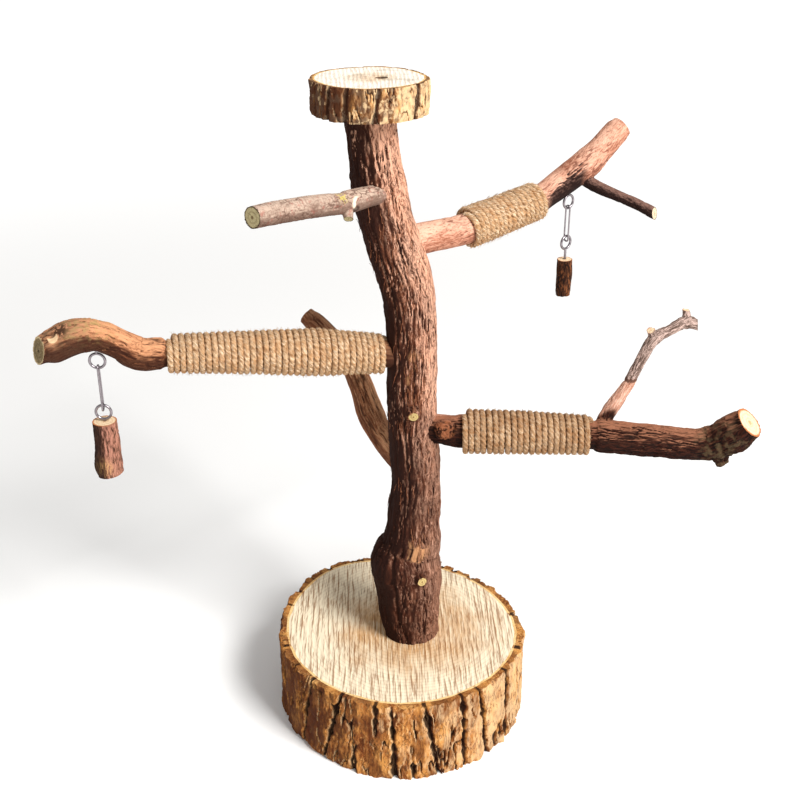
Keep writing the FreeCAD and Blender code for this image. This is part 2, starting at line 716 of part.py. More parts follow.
def hang_toy(side, perch, stations, station, before):
    """A screw eye under a perch, a wire link, a second eye and its log."""
    wire = size("eye_wire") / 2
    ring_radius = size(side + "_eye_width") / 2 - wire
    link_radius = wire + size("wire_clearance") + size("link_wire") / 2
    back = unit(stations[before] - stations[station])
    distance = size(side + "_eye_back")
    part = distance / (stations[before] - stations[station]).Length
    wood_radius = ((1 - part) * size("%s_%s_width" % (perch, station))
                   + part * size("%s_%s_width" % (perch, before))) / 2
    underside = (stations[station] + back * distance
                 - UP * (wood_radius / math.hypot(back.x, back.y)))
    turned = Rotation(UP, size(side + "_toy_turn"))
    perch_eye_middle = underside - UP * (size("perch_eye_neck") + wire + ring_radius)
    perch_eye = screw_eye(side + "_perch_screw_eye", Placement(perch_eye_middle, turned), side,
                          Placement(Vector(0, 0, ring_radius), Rotation()), "perch_eye_neck")
    upper_pivot = perch_eye_middle - UP * ring_radius

    half_turn = Rotation(Vector(1, 1, 1), 120)
    straight = size(side + "_link_length") - link_radius
    across = "Sizes.eye_wire + 2 * Sizes.wire_clearance + Sizes.link_wire"
    pieces = [
        torus(side + "_link_top", Placement(Vector(), half_turn), across, "Sizes.link_wire", 180),
        torus(side + "_link_bottom", Placement(
            Vector(0, 0, -straight), Rotation(Vector(1, 0, 0), 180).multiply(half_turn)),
            across, "Sizes.link_wire", 180)]
    for index, y_side in enumerate((-link_radius, link_radius)):
        pieces.append(rod("%s_link_side_%d" % (side, index), aimed(Vector(0, y_side, 0), -UP),
                          "Sizes.link_wire", "Sizes.%s_link_length - (%s) / 2" % (side, across)))
    link = fuse(side + "_link_body", pieces)
    link.Placement = Placement(upper_pivot, turned)
    keep(side + "_link", link)

    lower_pivot = upper_pivot - UP * size(side + "_link_length")
    toy_eye_middle = lower_pivot - UP * (ring_radius - link_radius)
    toy_eye = screw_eye(side + "_toy_screw_eye", Placement(toy_eye_middle, turned), side,
                        aimed(Vector(0, 0, -ring_radius), -UP), side + "_toy_eye_neck")
    log_top = toy_eye_middle - UP * (ring_radius + wire + size(side + "_toy_eye_neck"))
    log_wood = branch_loft(side + "_toy_log", log_top)[0]
    keep(side + "_toy_log", cut(side + "_toy_log_body", log_wood, [toy_eye]))
    for label, pivot in (("link", upper_pivot), ("toy", lower_pivot)):
        print("%s %s pivot %.3f %.3f %.3f" % (side, label, pivot.x, pivot.y, pivot.z))
    return perch_eye


left_eye = hang_toy("left", "left_perch", left, "crest", "hook")
right_eye = hang_toy("right", "upper_right_perch", upper, "fork", "bow")

# ---------------------------------------------------------------- finished perches
keep("left_perch", cut("left_perch_body", perch_blanks["left_perch"], [left_screw, left_eye]))
keep("lower_right_perch", cut("lower_right_perch_body", perch_blanks["lower_right_perch"],
                              [lower_screw]))
keep("upper_right_perch", cut("upper_right_perch_body", perch_blanks["upper_right_perch"],
                              [upper_screw, right_eye]))
keep("back_perch", cut("back_perch_body", perch_blanks["back_perch"], [back_screw]))
keep("upper_left_perch", cut("upper_left_perch_body", perch_blanks["upper_left_perch"],
                             [twig_screw]))

# ---------------------------------------------------------------- checks and files
doc.recompute()
for obj in doc.Objects:
    if "Invalid" in obj.State or "Error" in obj.State:
        raise RuntimeError("%s did not build" % obj.Label)
for name, (obj, solids) in subparts.items():
    shape = obj.Shape
    if shape.isNull() or not shape.isValid():
        raise RuntimeError("%s has no sound shape" % name)
    if len(shape.Solids) != solids:
        raise RuntimeError("%s has %d solids, not %d" % (name, len(shape.Solids), solids))

os.makedirs("parts", exist_ok=True)
for name, (obj, solids) in sorted(subparts.items()):
    obj.Shape.exportStep(os.path.join("parts", name + ".step"))
    print("%-28s %10.0f mm3" % (name, obj.Shape.Volume))
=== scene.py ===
# %% [markdown]
# # A parrot play stand of branches, bark and rope
#
# The real stand is a bent trunk on a thick slice of log, with a small slice on top as a look-out,
# five branches let in as perches, jute rope wound round three of them, and two short logs on wire.
# The CAD frame says where everything is. Here the wood is grown again with its bark, the rope is
# laid from three strands, and each surface gets a finish of its own.

# %% Load the frame
import math
from contextlib import contextmanager

import bpy
import numpy as np
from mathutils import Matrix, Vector, noise


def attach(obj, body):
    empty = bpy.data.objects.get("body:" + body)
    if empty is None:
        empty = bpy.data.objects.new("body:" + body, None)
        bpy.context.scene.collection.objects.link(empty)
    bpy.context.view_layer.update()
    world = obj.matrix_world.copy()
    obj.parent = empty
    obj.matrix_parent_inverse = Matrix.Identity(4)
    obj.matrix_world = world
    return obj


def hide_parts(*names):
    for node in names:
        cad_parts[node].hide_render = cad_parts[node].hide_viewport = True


MM = 0.001
TURN = 2 * math.pi
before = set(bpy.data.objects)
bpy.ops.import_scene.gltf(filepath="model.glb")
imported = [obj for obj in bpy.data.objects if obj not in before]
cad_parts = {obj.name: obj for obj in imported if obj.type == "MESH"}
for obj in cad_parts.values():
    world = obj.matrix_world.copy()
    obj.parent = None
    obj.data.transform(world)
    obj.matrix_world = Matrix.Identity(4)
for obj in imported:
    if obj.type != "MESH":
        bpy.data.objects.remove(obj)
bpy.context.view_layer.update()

# %% [markdown]
# ## The camera
#
# The photo looks down at the stand by 26 degrees from straight ahead. With the camera in place
# first, every later render can be held against the photo.

# %% Place the camera
bpy.ops.object.camera_add(location=(0, -0.713, 0.600), rotation=(math.radians(64), 0, 0))
camera = bpy.context.object
camera.data.lens = 52.875
bpy.context.scene.camera = camera

# %% [markdown]
# ## Sums on surfaces
#
# A finish is worked out for every point of a surface. Blender does that with nodes, which are slow
# to read. A small class wraps a node's socket, so that a sum such as `1 - mask` adds its own Math
# node, and a second one holds the material and adds every other node.


# %% Write shader sums as plain sums
class Field:
    """A number, vector or colour that changes over a surface."""

    def __init__(self, finish, socket):
        self.finish = finish
        self.socket = socket

    def __add__(self, other):
        return self.finish.sum("ADD", self, other)

    def __sub__(self, other):
        return self.finish.sum("SUBTRACT", self, other)

    def __mul__(self, other):
        return self.finish.sum("MULTIPLY", self, other)

    def __rsub__(self, other):
        return self.finish.sum("SUBTRACT", other, self)

    def __abs__(self):
        return self.finish.sum("ABSOLUTE", self)

    __radd__ = __add__
    __rmul__ = __mul__

    def between(self, low, high):
        """0 where the number is low, 1 where it is high, and a soft step between them."""
        return self.finish.node(
            "MapRange", {"interpolation_type": "SMOOTHSTEP"},
            {"Value": self, "From Min": low, "From Max": high})


def tone(red, green, blue):
    """A colour as a paint chart gives it, from 0 to 255, made linear for the shader."""
    return [*(((c / 255 + 0.055) / 1.055) ** 2.4 if c > 10 else c / 3294.6
              for c in (red, green, blue)), 1.0]


class Finish:
    """A material in the making. Its colour is laid on in coats."""

    def __init__(self, name, roughness=0.8, gloss=0.12):
        self.material = bpy.data.materials.new(name)
        self.material.use_nodes = True
        self.tree = self.material.node_tree
        self.shader = self.tree.nodes["Principled BSDF"]
        self.shader.inputs["Roughness"].default_value = roughness
        self.shader.inputs["Specular IOR Level"].default_value = gloss
        self.colour = None

    def node(self, kind, settings=None, inputs=None, output=0):
        """Add a node: its settings first, then the values or links of its sockets."""
        made = self.tree.nodes.new("ShaderNode" + kind)
        for key, value in (settings or {}).items():
            setattr(made, key, value)
        for socket, value in (inputs or {}).items():
            self.feed(made.inputs[socket], value)
        return Field(self, made.outputs[output])

    def feed(self, socket, value):
        """Link a field to a socket, or set the socket; three numbers are a tone there."""
        if isinstance(value, Field):
            self.tree.links.new(value.socket, socket)
        elif socket.type == "RGBA" and len(value) == 3:
            socket.default_value = tone(*value)
        else:
            socket.default_value = value

    def sum(self, operation, *terms):
        return self.node("Math", {"operation": operation}, dict(enumerate(terms)))

    def vector(self, operation, *terms, output="Vector"):
        return self.node("VectorMath", {"operation": operation}, dict(enumerate(terms)), output)

    def place(self):
        """Where the point is, in metres."""
        return self.node("TexCoord", output="Object")

    def along(self, name="grain"):
        """A coordinate that was stored on the piece and follows its branch."""
        return self.node("Attribute", {"attribute_name": name}, output="Vector")

    def stored(self, name):
        """A number that was stored on the piece."""
        return self.node("Attribute", {"attribute_name": name}, output="Fac")

    def axis(self, vector, name):
        """One coordinate of a vector."""
        return self.node("SeparateXYZ", None, {0: vector}, name)

    def spread(self, vector):
        """How far a point is from its branch's middle."""
        return self.vector("LENGTH", self.vector("MULTIPLY", vector, (1, 1, 0)), output="Value")

    def facing(self, direction):
        """How far the surface faces a direction, from -1 to 1."""
        normal = self.node("TexCoord", output="Normal")
        return self.vector("DOT_PRODUCT", normal, Vector(direction).normalized(), output="Value")

    def near(self, point, radius, soft=0.3):
        """1 near a point of the stand, 0 away from it; the point and radius are in millimetres."""
        reach = self.vector("DISTANCE", self.place(), [c * MM for c in point], output="Value")
        return 1 - reach.between(radius * (1 - soft) * MM, radius * (1 + soft) * MM)

    def stretched(self, vector, scale):
        return self.node("Mapping", None, {"Vector": vector, "Scale": scale})

    def cloud(self, vector, size, detail=3, rough=0.55, output=0):
        """Soft noise from 0 to 1 with spots of a size in millimetres."""
        return self.node("TexNoise", None, {
            "Vector": vector, "Scale": 1 / (size * MM), "Detail": detail, "Roughness": rough}, output)

    def warped(self, vector, size, amount):
        """The vector, pushed about by noise; size and amount are in millimetres."""
        push = self.vector("SUBTRACT", self.cloud(vector, size, 2, 0.5, "Color"), (0.5, 0.5, 0.5))
        return self.vector("ADD", vector, self.vector("MULTIPLY", push, (2 * amount * MM,) * 3))

    def mix(self, mask, colour, other):
        """The first colour where the mask is 0, the second where it is 1."""
        return self.node("Mix", {"data_type": "RGBA"}, {0: mask, 6: colour, 7: other}, 2)

    def paint(self, mask, colour):
        """Lay a coat over the colour so far, as thick as the mask says from 0 to 1."""
        self.colour = self.mix(mask, self.colour, colour)

    def bump(self, height, depth):
        """Fine relief, as deep in millimetres as a height of 1 stands for."""
        self.feed(self.shader.inputs["Normal"], self.node(
            "Bump", None, {"Height": height, "Distance": depth * MM}))

    def done(self):
        self.feed(self.shader.inputs["Base Color"], self.colour)
        return self.material


# %% [markdown]
# ## Bark
#
# Bark is not a picture on a pipe: its fibres follow the branch round every bend. So each piece of
# wood stores a straightened coordinate called `grain`, with two parts across the branch and one
# along it, and `furrow`, which says how deep the carved relief is. Long noise on `grain` gives
# fibres, and the furrows are darker than the ridges: partly the bark's own colour there, partly
# painted shade.


# %% Write the bark finish
def bark(name, dark, body, light, deep, length=0.08, hair=1.1, patch=13, curl=1.6, bump=0.7,
         crown=0.25, contrast=1.0, extra=None):
    """A bark of long fibres in four tones; crown is how much lighter its upper side is painted, as
    painted light from above.
    """
    finish = Finish(name, 0.86)
    grain = finish.along()
    bent = finish.warped(grain, 8, curl)
    hairs = finish.cloud(finish.stretched(bent, (1, 1, length)), hair, 5, 0.72)
    strings = finish.cloud(finish.stretched(bent, (1, 1, length * 1.5)), hair * 3.4, 3)
    patches = finish.cloud(finish.stretched(grain, (1, 1, 0.45)), patch, 4)
    specks = finish.cloud(grain, 0.8, 3)
    finish.colour = finish.mix((strings * 0.6 + patches * 0.6).between(0.42, 0.72), dark, body)
    # pale patches, and painted light on the side that faces up towards the lamp, as strong as crown
    pale_patches_and_top_light = (patches * 0.75 + hairs * 0.45 + finish.facing((0.35, -0.2, 1)) * crown)
    finish.paint(pale_patches_and_top_light.between(0.62, 0.98), light)
    finish.paint(hairs.between(0.50, 0.64) * 0.6 * contrast, light)
    finish.paint((1 - hairs.between(0.36, 0.49)) * 0.75 * contrast, deep)
    finish.paint(specks.between(0.60, 0.72) * 0.35 * contrast, deep)
    # darker in the furrows: partly the bark's own colour there, partly painted shade
    finish.paint(finish.stored("furrow").between(0.2, 0.9) * 0.8, deep)
    if extra:
        extra(finish, grain, hairs)
    finish.bump(hairs * 0.8 + strings * 0.4 + specks * 0.15, bump)
    return finish.done()


# %% [markdown]
# ## Sawn wood
#
# A saw leaves the ends of branches and the faces of the two slices bare. The base has a pale
# sapwood ring round a tan heart, growth rings round the pith, and close parallel saw marks.


# %% Write the sawn finishes
def slice_wood(name, pith, cream, tan, line, ring_size, mark_size, mark_strength, heart):
    """The sawn face of a slice: rings round its pith, and the marks of the saw across them."""
    finish = Finish(name, 0.78)
    place = finish.place()
    centred = finish.vector("SUBTRACT", place, [c * MM for c in pith])
    radius = finish.spread(centred) + (finish.cloud(place, 30, 2) - 0.5) * 9 * MM
    rings = finish.sum("SINE", radius * (TURN / (ring_size * MM)))
    drift = finish.cloud(finish.stretched(place, (1, 0.3, 1)), 16, 2)
    across = finish.axis(place, "X") + (drift - 0.5) * 5 * MM + finish.axis(place, "Y") * 0.05
    marks = finish.sum("SINE", across * (TURN / (mark_size * MM)))
    worn = finish.cloud(finish.stretched(place, (1, 0.12, 1)), 3.2, 3, 0.6)
    fine = finish.cloud(finish.stretched(place, (1, 0.05, 1)), mark_size * 0.22, 3, 0.65)
    blotch = finish.cloud(place, 20, 4)
    warm = (1 - radius.between(heart * 0.35 * MM, heart * MM)) * 0.7 + (blotch - 0.5) * 1.1
    finish.colour = finish.mix(warm.between(0.05, 0.95), cream, tan)
    finish.paint(rings.between(0.3, 1) * 0.16, line)
    finish.paint(marks.between(0.45, 0.95) * worn.between(0.40, 0.56) * mark_strength, line)
    finish.paint(fine.between(0.50, 0.64) * mark_strength, line)
    finish.paint((1 - fine.between(0.34, 0.46)) * 0.6, cream)
    finish.bump(marks * 0.25 + worn * 0.4 + fine * 0.5, 0.45)
    return finish


def cut_end(name, rim, face, heart, rings):
    """The sawn end of a branch: a rim of bark, rings, and a small heart."""
    finish = Finish(name, 0.78)
    pith = finish.along("pith")
    share = finish.spread(pith)
    place = finish.place()
    grit = finish.cloud(place, 0.7, 4)
    waves = finish.sum("SINE", (share + finish.cloud(place, 5, 2) * 0.25) * (TURN * rings))
    cracks = finish.cloud(finish.warped(place, 4, 2), 3.4, 2)
    finish.colour = finish.mix(waves.between(0.1, 1) * 0.4, face, heart)
    finish.paint(1 - share.between(0.08, 0.24), heart)
    finish.paint((share + (grit - 0.5) * 0.16).between(0.78, 0.92), rim)
    finish.paint(grit.between(0.55, 0.8) * 0.45, heart)
    finish.paint((1 - abs(cracks - 0.5).between(0.004, 0.02)) * 0.5, rim)
    finish.bump(grit + waves * 0.1, 0.35)
    return finish.done()


# %% [markdown]
# ## Tools that many pieces share
#
# An operator acts on what is selected, so each step first says what that is. Most pieces start as
# a curve or in edit mode, and all end alike: with a name, their finishes, smooth shading, a body to
# ride on, and the CAD part that they stand for hidden.


# %% Write the shared tools
def select_only(*pieces):
    """Select these pieces and nothing else; the first is the active one."""
    bpy.ops.object.select_all(action="DESELECT")
    for piece in pieces:
        piece.select_set(True)
    bpy.context.view_layer.objects.active = pieces[0]


@contextmanager
def editing(kind):
    """Edit mode for points, edges or faces, and object mode again after it."""
    bpy.ops.object.mode_set(mode="EDIT")
    bpy.ops.mesh.select_mode(type=kind)
    yield
    bpy.ops.object.mode_set(mode="OBJECT")


def empty_curve():
    """A curve to which splines are added one by one."""
    bpy.ops.curve.primitive_bezier_curve_add()
    curve = bpy.context.object
    curve.data.splines.clear()
    curve.data.dimensions = "3D"
    return curve


def thread(curve, places, radii):
    """Add a line through places in metres, with a radius at each."""
    spline = curve.data.splines.new("POLY")
    spline.points.add(len(places) - 1)
    spline.points.foreach_set("co", np.c_[places, np.ones(len(places))].ravel())
    spline.points.foreach_set("radius", radii)
    return spline


def as_mesh(curve, width=0, roundness=0):
    """Turn a curve into a mesh; width is its thickness in millimetres, if it has no profile."""
    curve.data.bevel_depth = width / 2 * MM
    curve.data.bevel_resolution = roundness
    select_only(curve)
    bpy.ops.object.convert(target="MESH")
    return bpy.context.object


def hand_over(piece, name, node, finishes=(), body="root", edge=None):
    """Name a piece, give it its finishes, put it on what it rides on, and hide the CAD part that it
    stands for.
    """
    piece.name = piece.data.name = name
    for finish in finishes:
        piece.data.materials.append(finish)
    select_only(piece)
    if edge:
        bpy.ops.object.shade_smooth_by_angle(angle=math.radians(edge))
    else:
        bpy.ops.object.shade_smooth()
    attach(piece, body)
    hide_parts(node)
    print(name, len(piece.data.polygons), "faces")


# %% [markdown]
# ## Growing a branch
#
# A branch is thick here and thin there, and bends as it likes. It is a curve with a radius at every
# point, which Blender turns into a tube. Side shoots are tubes of their own. A voxel remesh then
# melts them into one skin, as wood grows, and gives even faces to carve.


# %% Grow tubes and melt them together
def extend(stations, start, end):
    """Lengthen a list of stations past its ends, in millimetres, so that a saw can trim it."""
    points = [Vector(row[:3]) for row in stations]
    first = points[0] - (points[1] - points[0]).normalized() * start
    last = points[-1] + (points[-1] - points[-2]).normalized() * end
    before = [(*first, stations[0][3])] if start else []
    after = [(*last, stations[-1][3])] if end else []
    return before + list(stations) + after


def grow(name, stations):
    """A tube through stations of x, y, z and width in millimetres."""
    bpy.ops.curve.primitive_bezier_curve_add()
    limb = bpy.context.object
    limb.name = name
    spline = limb.data.splines[0]
    spline.bezier_points.add(len(stations) - 2)
    for point, (x, y, z, width) in zip(spline.bezier_points, stations):
        point.co = Vector((x, y, z)) * MM
        point.radius = width / 2
        point.handle_left_type = point.handle_right_type = "AUTO"
    spline.resolution_u = 8
    spline.radius_interpolation = "EASE"
    limb.data.use_fill_caps = True
    return as_mesh(limb, 2, 8)


def melt(limbs, voxel):
    """Join limbs into one skin of even faces, each about as wide as the voxel in millimetres."""
    select_only(*limbs)
    if len(limbs) > 1:
        bpy.ops.object.join()
    wood = bpy.context.object
    wood.data.remesh_voxel_size = voxel * MM
    bpy.ops.object.voxel_remesh()
    smooth = wood.modifiers.new("soften", "SMOOTH")
    smooth.iterations = 3
    bpy.ops.object.modifier_apply(modifier=smooth.name)
    return wood


# %% [markdown]
# ## Straightening a branch
#
# To carve and colour along the fibres, each point must know how far along its branch it lies and
# on which side. The nearest stretch of the branch's middle line gives both. The cross directions
# are carried from stretch to stretch with the least turn, so nothing twists.


# %% Measure points along their branch
LIMBS_APART = 0.5  # metres between the grain of one limb and the next, so that no two look alike


def stretches(stations):
    """Each straight stretch of a branch: start, end, two cross directions, length before, widths."""
    rows = []
    points = [Vector(row[:3]) * MM for row in stations]
    before = 0.0
    across = None
    for index, (start, end) in enumerate(zip(points, points[1:])):
        run = (end - start).normalized()
        if across is None:
            across = run.orthogonal().normalized() if abs(run.z) < 0.8 else Vector((1, 0, 0))
        across = (across - run * across.dot(run)).normalized()
        rows.append((start, end, across, run.cross(across), before,
                     stations[index][3] * MM / 2, stations[index + 1][3] * MM / 2))
        before += (end - start).length
    return rows


def straighten(points, limbs):
    """The grain coordinates of points, and the width of the wood there."""
    best = np.full(len(points), np.inf)
    grain = np.zeros((len(points), 3))
    reach = np.zeros(len(points))
    for number, stations in enumerate(limbs):
        rows = stretches(stations)
        for place, (start, end, across, aside, before, wide, wide_end) in enumerate(rows):
            start, run = np.array(start), np.array(end - start)
            share = (points - start) @ run / (run @ run)
            low = -9 if place == 0 else 0
            high = 9 if place == len(rows) - 1 else 1
            share = np.clip(share, low, high)
            off = points - start - share[:, None] * run
            inside = np.clip(share, 0, 1)
            radius = wide * (1 - inside) + wide_end * inside
            over = np.abs(share - inside) * np.linalg.norm(run)
            distance = (np.linalg.norm(off, axis=1) + over) / radius
            won = distance < best
            best[won] = distance[won]
            grain[won, 0] = off[won] @ np.array(across) + number * LIMBS_APART
            grain[won, 1] = off[won] @ np.array(aside)
            grain[won, 2] = before + share[won] * np.linalg.norm(run)
            reach[won] = radius[won]
    return grain, reach


def roughness(points, size, octaves=2, seed=0):
    """Noise at points, about -1 to 1; size is its wavelength in millimetres along X, Y and Z."""
    moved = points / (np.array(size) * MM) + seed * 31.7
    return np.array([noise.fractal(Vector(at), 1.0, 2.1, octaves) for at in moved])


def crease(values, width):
    """1 along the lines where noise changes sign, 0 away from them."""
    return np.clip(1 - np.abs(values) / width, 0, 1)


def apart(angles, turn):
    """How far angles are from a turn, the short way round."""
    return np.abs((angles - turn + math.pi) % TURN - math.pi)


def vertices_of(piece):
    """Where the points of a piece are."""
    places = np.empty(len(piece.data.vertices) * 3)
    piece.data.vertices.foreach_get("co", places)
    return places.reshape(-1, 3)


def normals_of(piece):
    """Which way the points of a piece face."""
    sides = np.empty(len(piece.data.vertices) * 3)
    piece.data.vertex_normals.foreach_get("vector", sides)
    return sides.reshape(-1, 3)


def from_pith(grain):
    """The part of a grain coordinate that lies across its own limb."""
    pith = grain * (1, 1, 0)
    pith[:, 0] -= np.round(pith[:, 0] / LIMBS_APART) * LIMBS_APART
    return pith


def store(piece, name, values):
    """Keep a number or a vector for each point of a piece, for its finish to read."""
    vector = values.ndim == 2
    kept = piece.data.attributes.get(name) or piece.data.attributes.new(
        name, "FLOAT_VECTOR" if vector else "FLOAT", "POINT")
    kept.data.foreach_set("vector" if vector else "value", values.ravel().astype(np.float32))


# %% [markdown]
# ## Carving and sawing
#
# The relief is real: ridges stand up and furrows go in along the point normals. Then a saw plane
# trims the ends, which leaves a crisp rim and a flat face of its own.


# %% Carve the bark and saw the ends
def fibrous(swell, furrow_depth, furrow_size, furrow_length, flake):
    """A bark relief: swellings, long furrows and small flakes, all in millimetres."""
    def relief(grain, places):
        broad = roughness(grain, (17, 17, 45), 2, 1) * swell
        lines = crease(roughness(grain, (furrow_size, furrow_size, furrow_length), 2, 2), 0.16)
        half = (furrow_size / 2, furrow_size / 2, furrow_length / 2)
        thin = crease(roughness(grain, half, 1, 3), 0.16)
        scales = roughness(grain, (2.2, 2.2, 9), 2, 4) * flake
        mask = np.clip(roughness(grain, (9, 9, 30), 1, 5) * 2 + 0.7, 0.15, 1)
        depth = (lines + thin * 0.5) * mask
        return broad + scales - depth * furrow_depth, np.clip(depth, 0, 1)
    return relief


def carve(wood, limbs, relief):
    """Give the skin its relief and store how deep it is furrowed."""
    places = vertices_of(wood)
    height, furrow = relief(straighten(places, limbs)[0], places)
    wood.data.vertices.foreach_set("co", (places + normals_of(wood) * (height * MM)[:, None]).ravel())
    wood.data.update()
    store(wood, "furrow", furrow)


def saw(wood, point, direction, width):
    """Cut off what lies past a point along a direction; the new face takes the second finish."""
    point, direction = Vector(point) * MM, Vector(direction).normalized()
    centres = np.empty(len(wood.data.polygons) * 3)
    wood.data.polygons.foreach_get("center", centres)
    gap = np.linalg.norm(centres.reshape(-1, 3) - np.array(point), axis=1)
    wood.data.polygons.foreach_set("select", gap < width * 1.15 * MM)
    wood.data.update()
    select_only(wood)
    with editing("FACE"):
        bpy.ops.mesh.bisect(plane_co=point, plane_no=direction, use_fill=False, clear_outer=True)
    skin = len(wood.data.polygons)
    with editing("EDGE"):
        bpy.ops.mesh.select_all(action="DESELECT")
        bpy.ops.mesh.select_non_manifold(use_wire=False, use_multi_face=False,
                                         use_non_contiguous=False, use_verts=False)
        bpy.ops.mesh.edge_face_add()
    for face in wood.data.polygons[skin:]:
        face.material_index = 1


def measure(wood, limbs):
    """Store the grain of every point, and its share of the way from pith to bark."""
    grain, reach = straighten(vertices_of(wood), limbs)
    store(wood, "grain", grain)
    store(wood, "pith", from_pith(grain) / reach[:, None])


def wooden(name, limbs, voxel, relief, cuts, finishes, body="root"):
    """A finished piece of branch: grown, melted, carved, sawn and put on its body."""
    wood = melt([grow(name, stations) for stations in limbs], voxel)
    carve(wood, limbs, relief)
    for point, direction, width in cuts:
        saw(wood, point, direction, width)
    measure(wood, limbs)
    hand_over(wood, name + "_wood", name, finishes, body, edge=50)
    return wood


def end_of(stations):
    """The last station's place, direction and width, for a square cut."""
    return (stations[-1][:3], Vector(stations[-1][:3]) - Vector(stations[-2][:3]), stations[-1][3])


# %% [markdown]
# ## The trunk
#
# The trunk leans left as it rises, with a burl low on its left and two sawn knots in front. Its
# bark is red-brown and stringy, with long furrows.

# %% Grow the trunk
TRUNK = (
    (8.6, 0, 63, 40.5), (6.3, 0, 88, 45), (5.8, 0, 110.5, 49.5), (4.4, 0, 123.5, 52),
    (8.7, 0, 140.5, 41.7), (9.6, 0, 157.5, 37.4), (11.4, 0, 193, 34.6), (10.7, 0, 206, 35.3),
    (8.5, 0, 232, 34.2), (7.6, 0, 258, 34), (8, 0, 285.8, 33.2), (5.7, 0, 324, 34),
    (2.8, 0, 340, 34.7), (-4, 0, 361.5, 35.4), (-9.2, 0, 380, 34.6), (-12.9, 0, 398, 35),
    (-15.5, 0, 418, 32), (-18.3, 0, 446, 32.8))
UPPER_KNOT = ((7.6, -8, 256, 12), (8.4, -14, 252, 10), (9.0, -19.6, 249, 7.4), (9.4, -22, 248, 7))
LOWER_KNOT = ((8, -12, 124, 12), (13, -20, 123.5, 10), (15.8, -27.4, 123, 7.4),
              (16.6, -30, 122.6, 7))

end_pale = cut_end("knot_face", (104, 62, 38), (198, 174, 116), (116, 82, 46), 2)


def trunk_marks(finish, grain, hairs):
    """Painted shade on the left side and under the upper left twig, painted light on the right, pale
    wood where bark has gone, and brown collars round the two knots.
    """
    stray = (hairs - 0.5) * 1.4 + (finish.cloud(grain, 24, 3) - 0.5) * 1.2
    # masks for painted shade on the side that faces left, away from the lamp, and for painted light on
    # the side that faces right
    left = (finish.facing((-1, -0.3, 0)) + stray).between(-0.2, 0.75)
    right = (finish.facing((1, -0.35, 0.2)) + stray).between(0.2, 1.1)
    low = 1 - finish.axis(finish.place(), "Z").between(0.195, 0.262)
    finish.paint(low * 0.75, (66, 32, 19))
    blotch = finish.cloud(finish.warped(finish.stretched(grain, (1, 1, 0.4)), 12, 5), 9, 4, 0.65)
    finish.paint(blotch.between(0.50, 0.60) * 0.65, (60, 30, 20))
    # painted shade on the left and painted light on the right; the pale shreds below stay off the
    # shaded side
    finish.paint(left * 0.93, (38, 16, 9))
    finish.paint(right * (1 - low * 0.7) * hairs.between(0.36, 0.56) * 0.75, (234, 180, 150))
    shreds = finish.cloud(finish.warped(finish.stretched(grain, (1, 1, 0.28)), 5, 4), 2.6, 5, 0.75)
    finish.paint(shreds.between(0.56, 0.63) * (1 - left) * 0.6, (206, 158, 132))
    finish.paint((1 - shreds.between(0.37, 0.43)) * 0.6, (36, 17, 11))
    # painted shade on the trunk under the upper left twig
    shade_under_twig = finish.near((-22, -12, 383), 16, 0.6) * (0.4 + hairs)
    finish.paint(shade_under_twig.between(0.2, 1) * 0.75, (46, 22, 15))
    ragged = (finish.cloud(finish.stretched(grain, (1, 1, 0.3)), 4, 4) - 0.5) * 1.6
    patch_mask = (finish.near((12.5, -20, 143), 13, 0.9) + finish.near((9, -17, 291), 8, 0.9) * 0.9
            + finish.near((8.4, -17, 274), 7, 0.9) * 0.9 + ragged).between(0.75, 1.1)
    finish.paint(patch_mask * 0.75, (206, 150, 104))
    for knot in ((9, -17.5, 250), (15.6, -25.5, 123)):
        collar = finish.near(knot, 7, 0.35) * (1 - finish.near(knot, 3.6, 0.2))
        finish.paint(collar * hairs.between(0.3, 0.6) * 0.8, (64, 32, 20))


TRUNK_RADIUS = 17.5
# turn in degrees, the heights where it starts and ends, its depth and how far its sides flare
TRUNK_FURROWS = (
    (-112, 63, 157.5, 1.7, 1), (-109, 157.5, 285.8, 1.6, 1), (-124, 258, 380, 1.5, 1),
    (140, 232, 380, 1.5, 1), (-164, 88, 206, 1.6, 1), (-88, 254, 305, 2.2, 0.8))


def trunk_relief(grain, places):
    """The stringy bark's relief with the trunk's long furrows and the crack above its knot."""
    height, furrow = fibrous(0.8, 1.0, 3.8, 40, 0.6)(grain, places)
    angle = np.arctan2(grain[:, 1], from_pith(grain)[:, 0])
    level = places[:, 2] / MM
    sway = roughness(grain, (30, 30, 22), 2, 9) * 1.2
    for turn, start, end, depth, flare in TRUNK_FURROWS:
        heights = [row[2] for row in TRUNK if start < row[2] < end] or [(start + end) / 2]
        deep = np.interp(level, [start, *heights, end], [-0.6, *[depth] * len(heights), -0.6])
        aside = apart(angle, math.radians(turn)) * TRUNK_RADIUS
        cut = np.clip(deep - np.abs(aside + sway) / flare, 0, None)
        height -= cut
        furrow = np.clip(furrow + cut / 1.6, 0, 1)
    return height, furrow


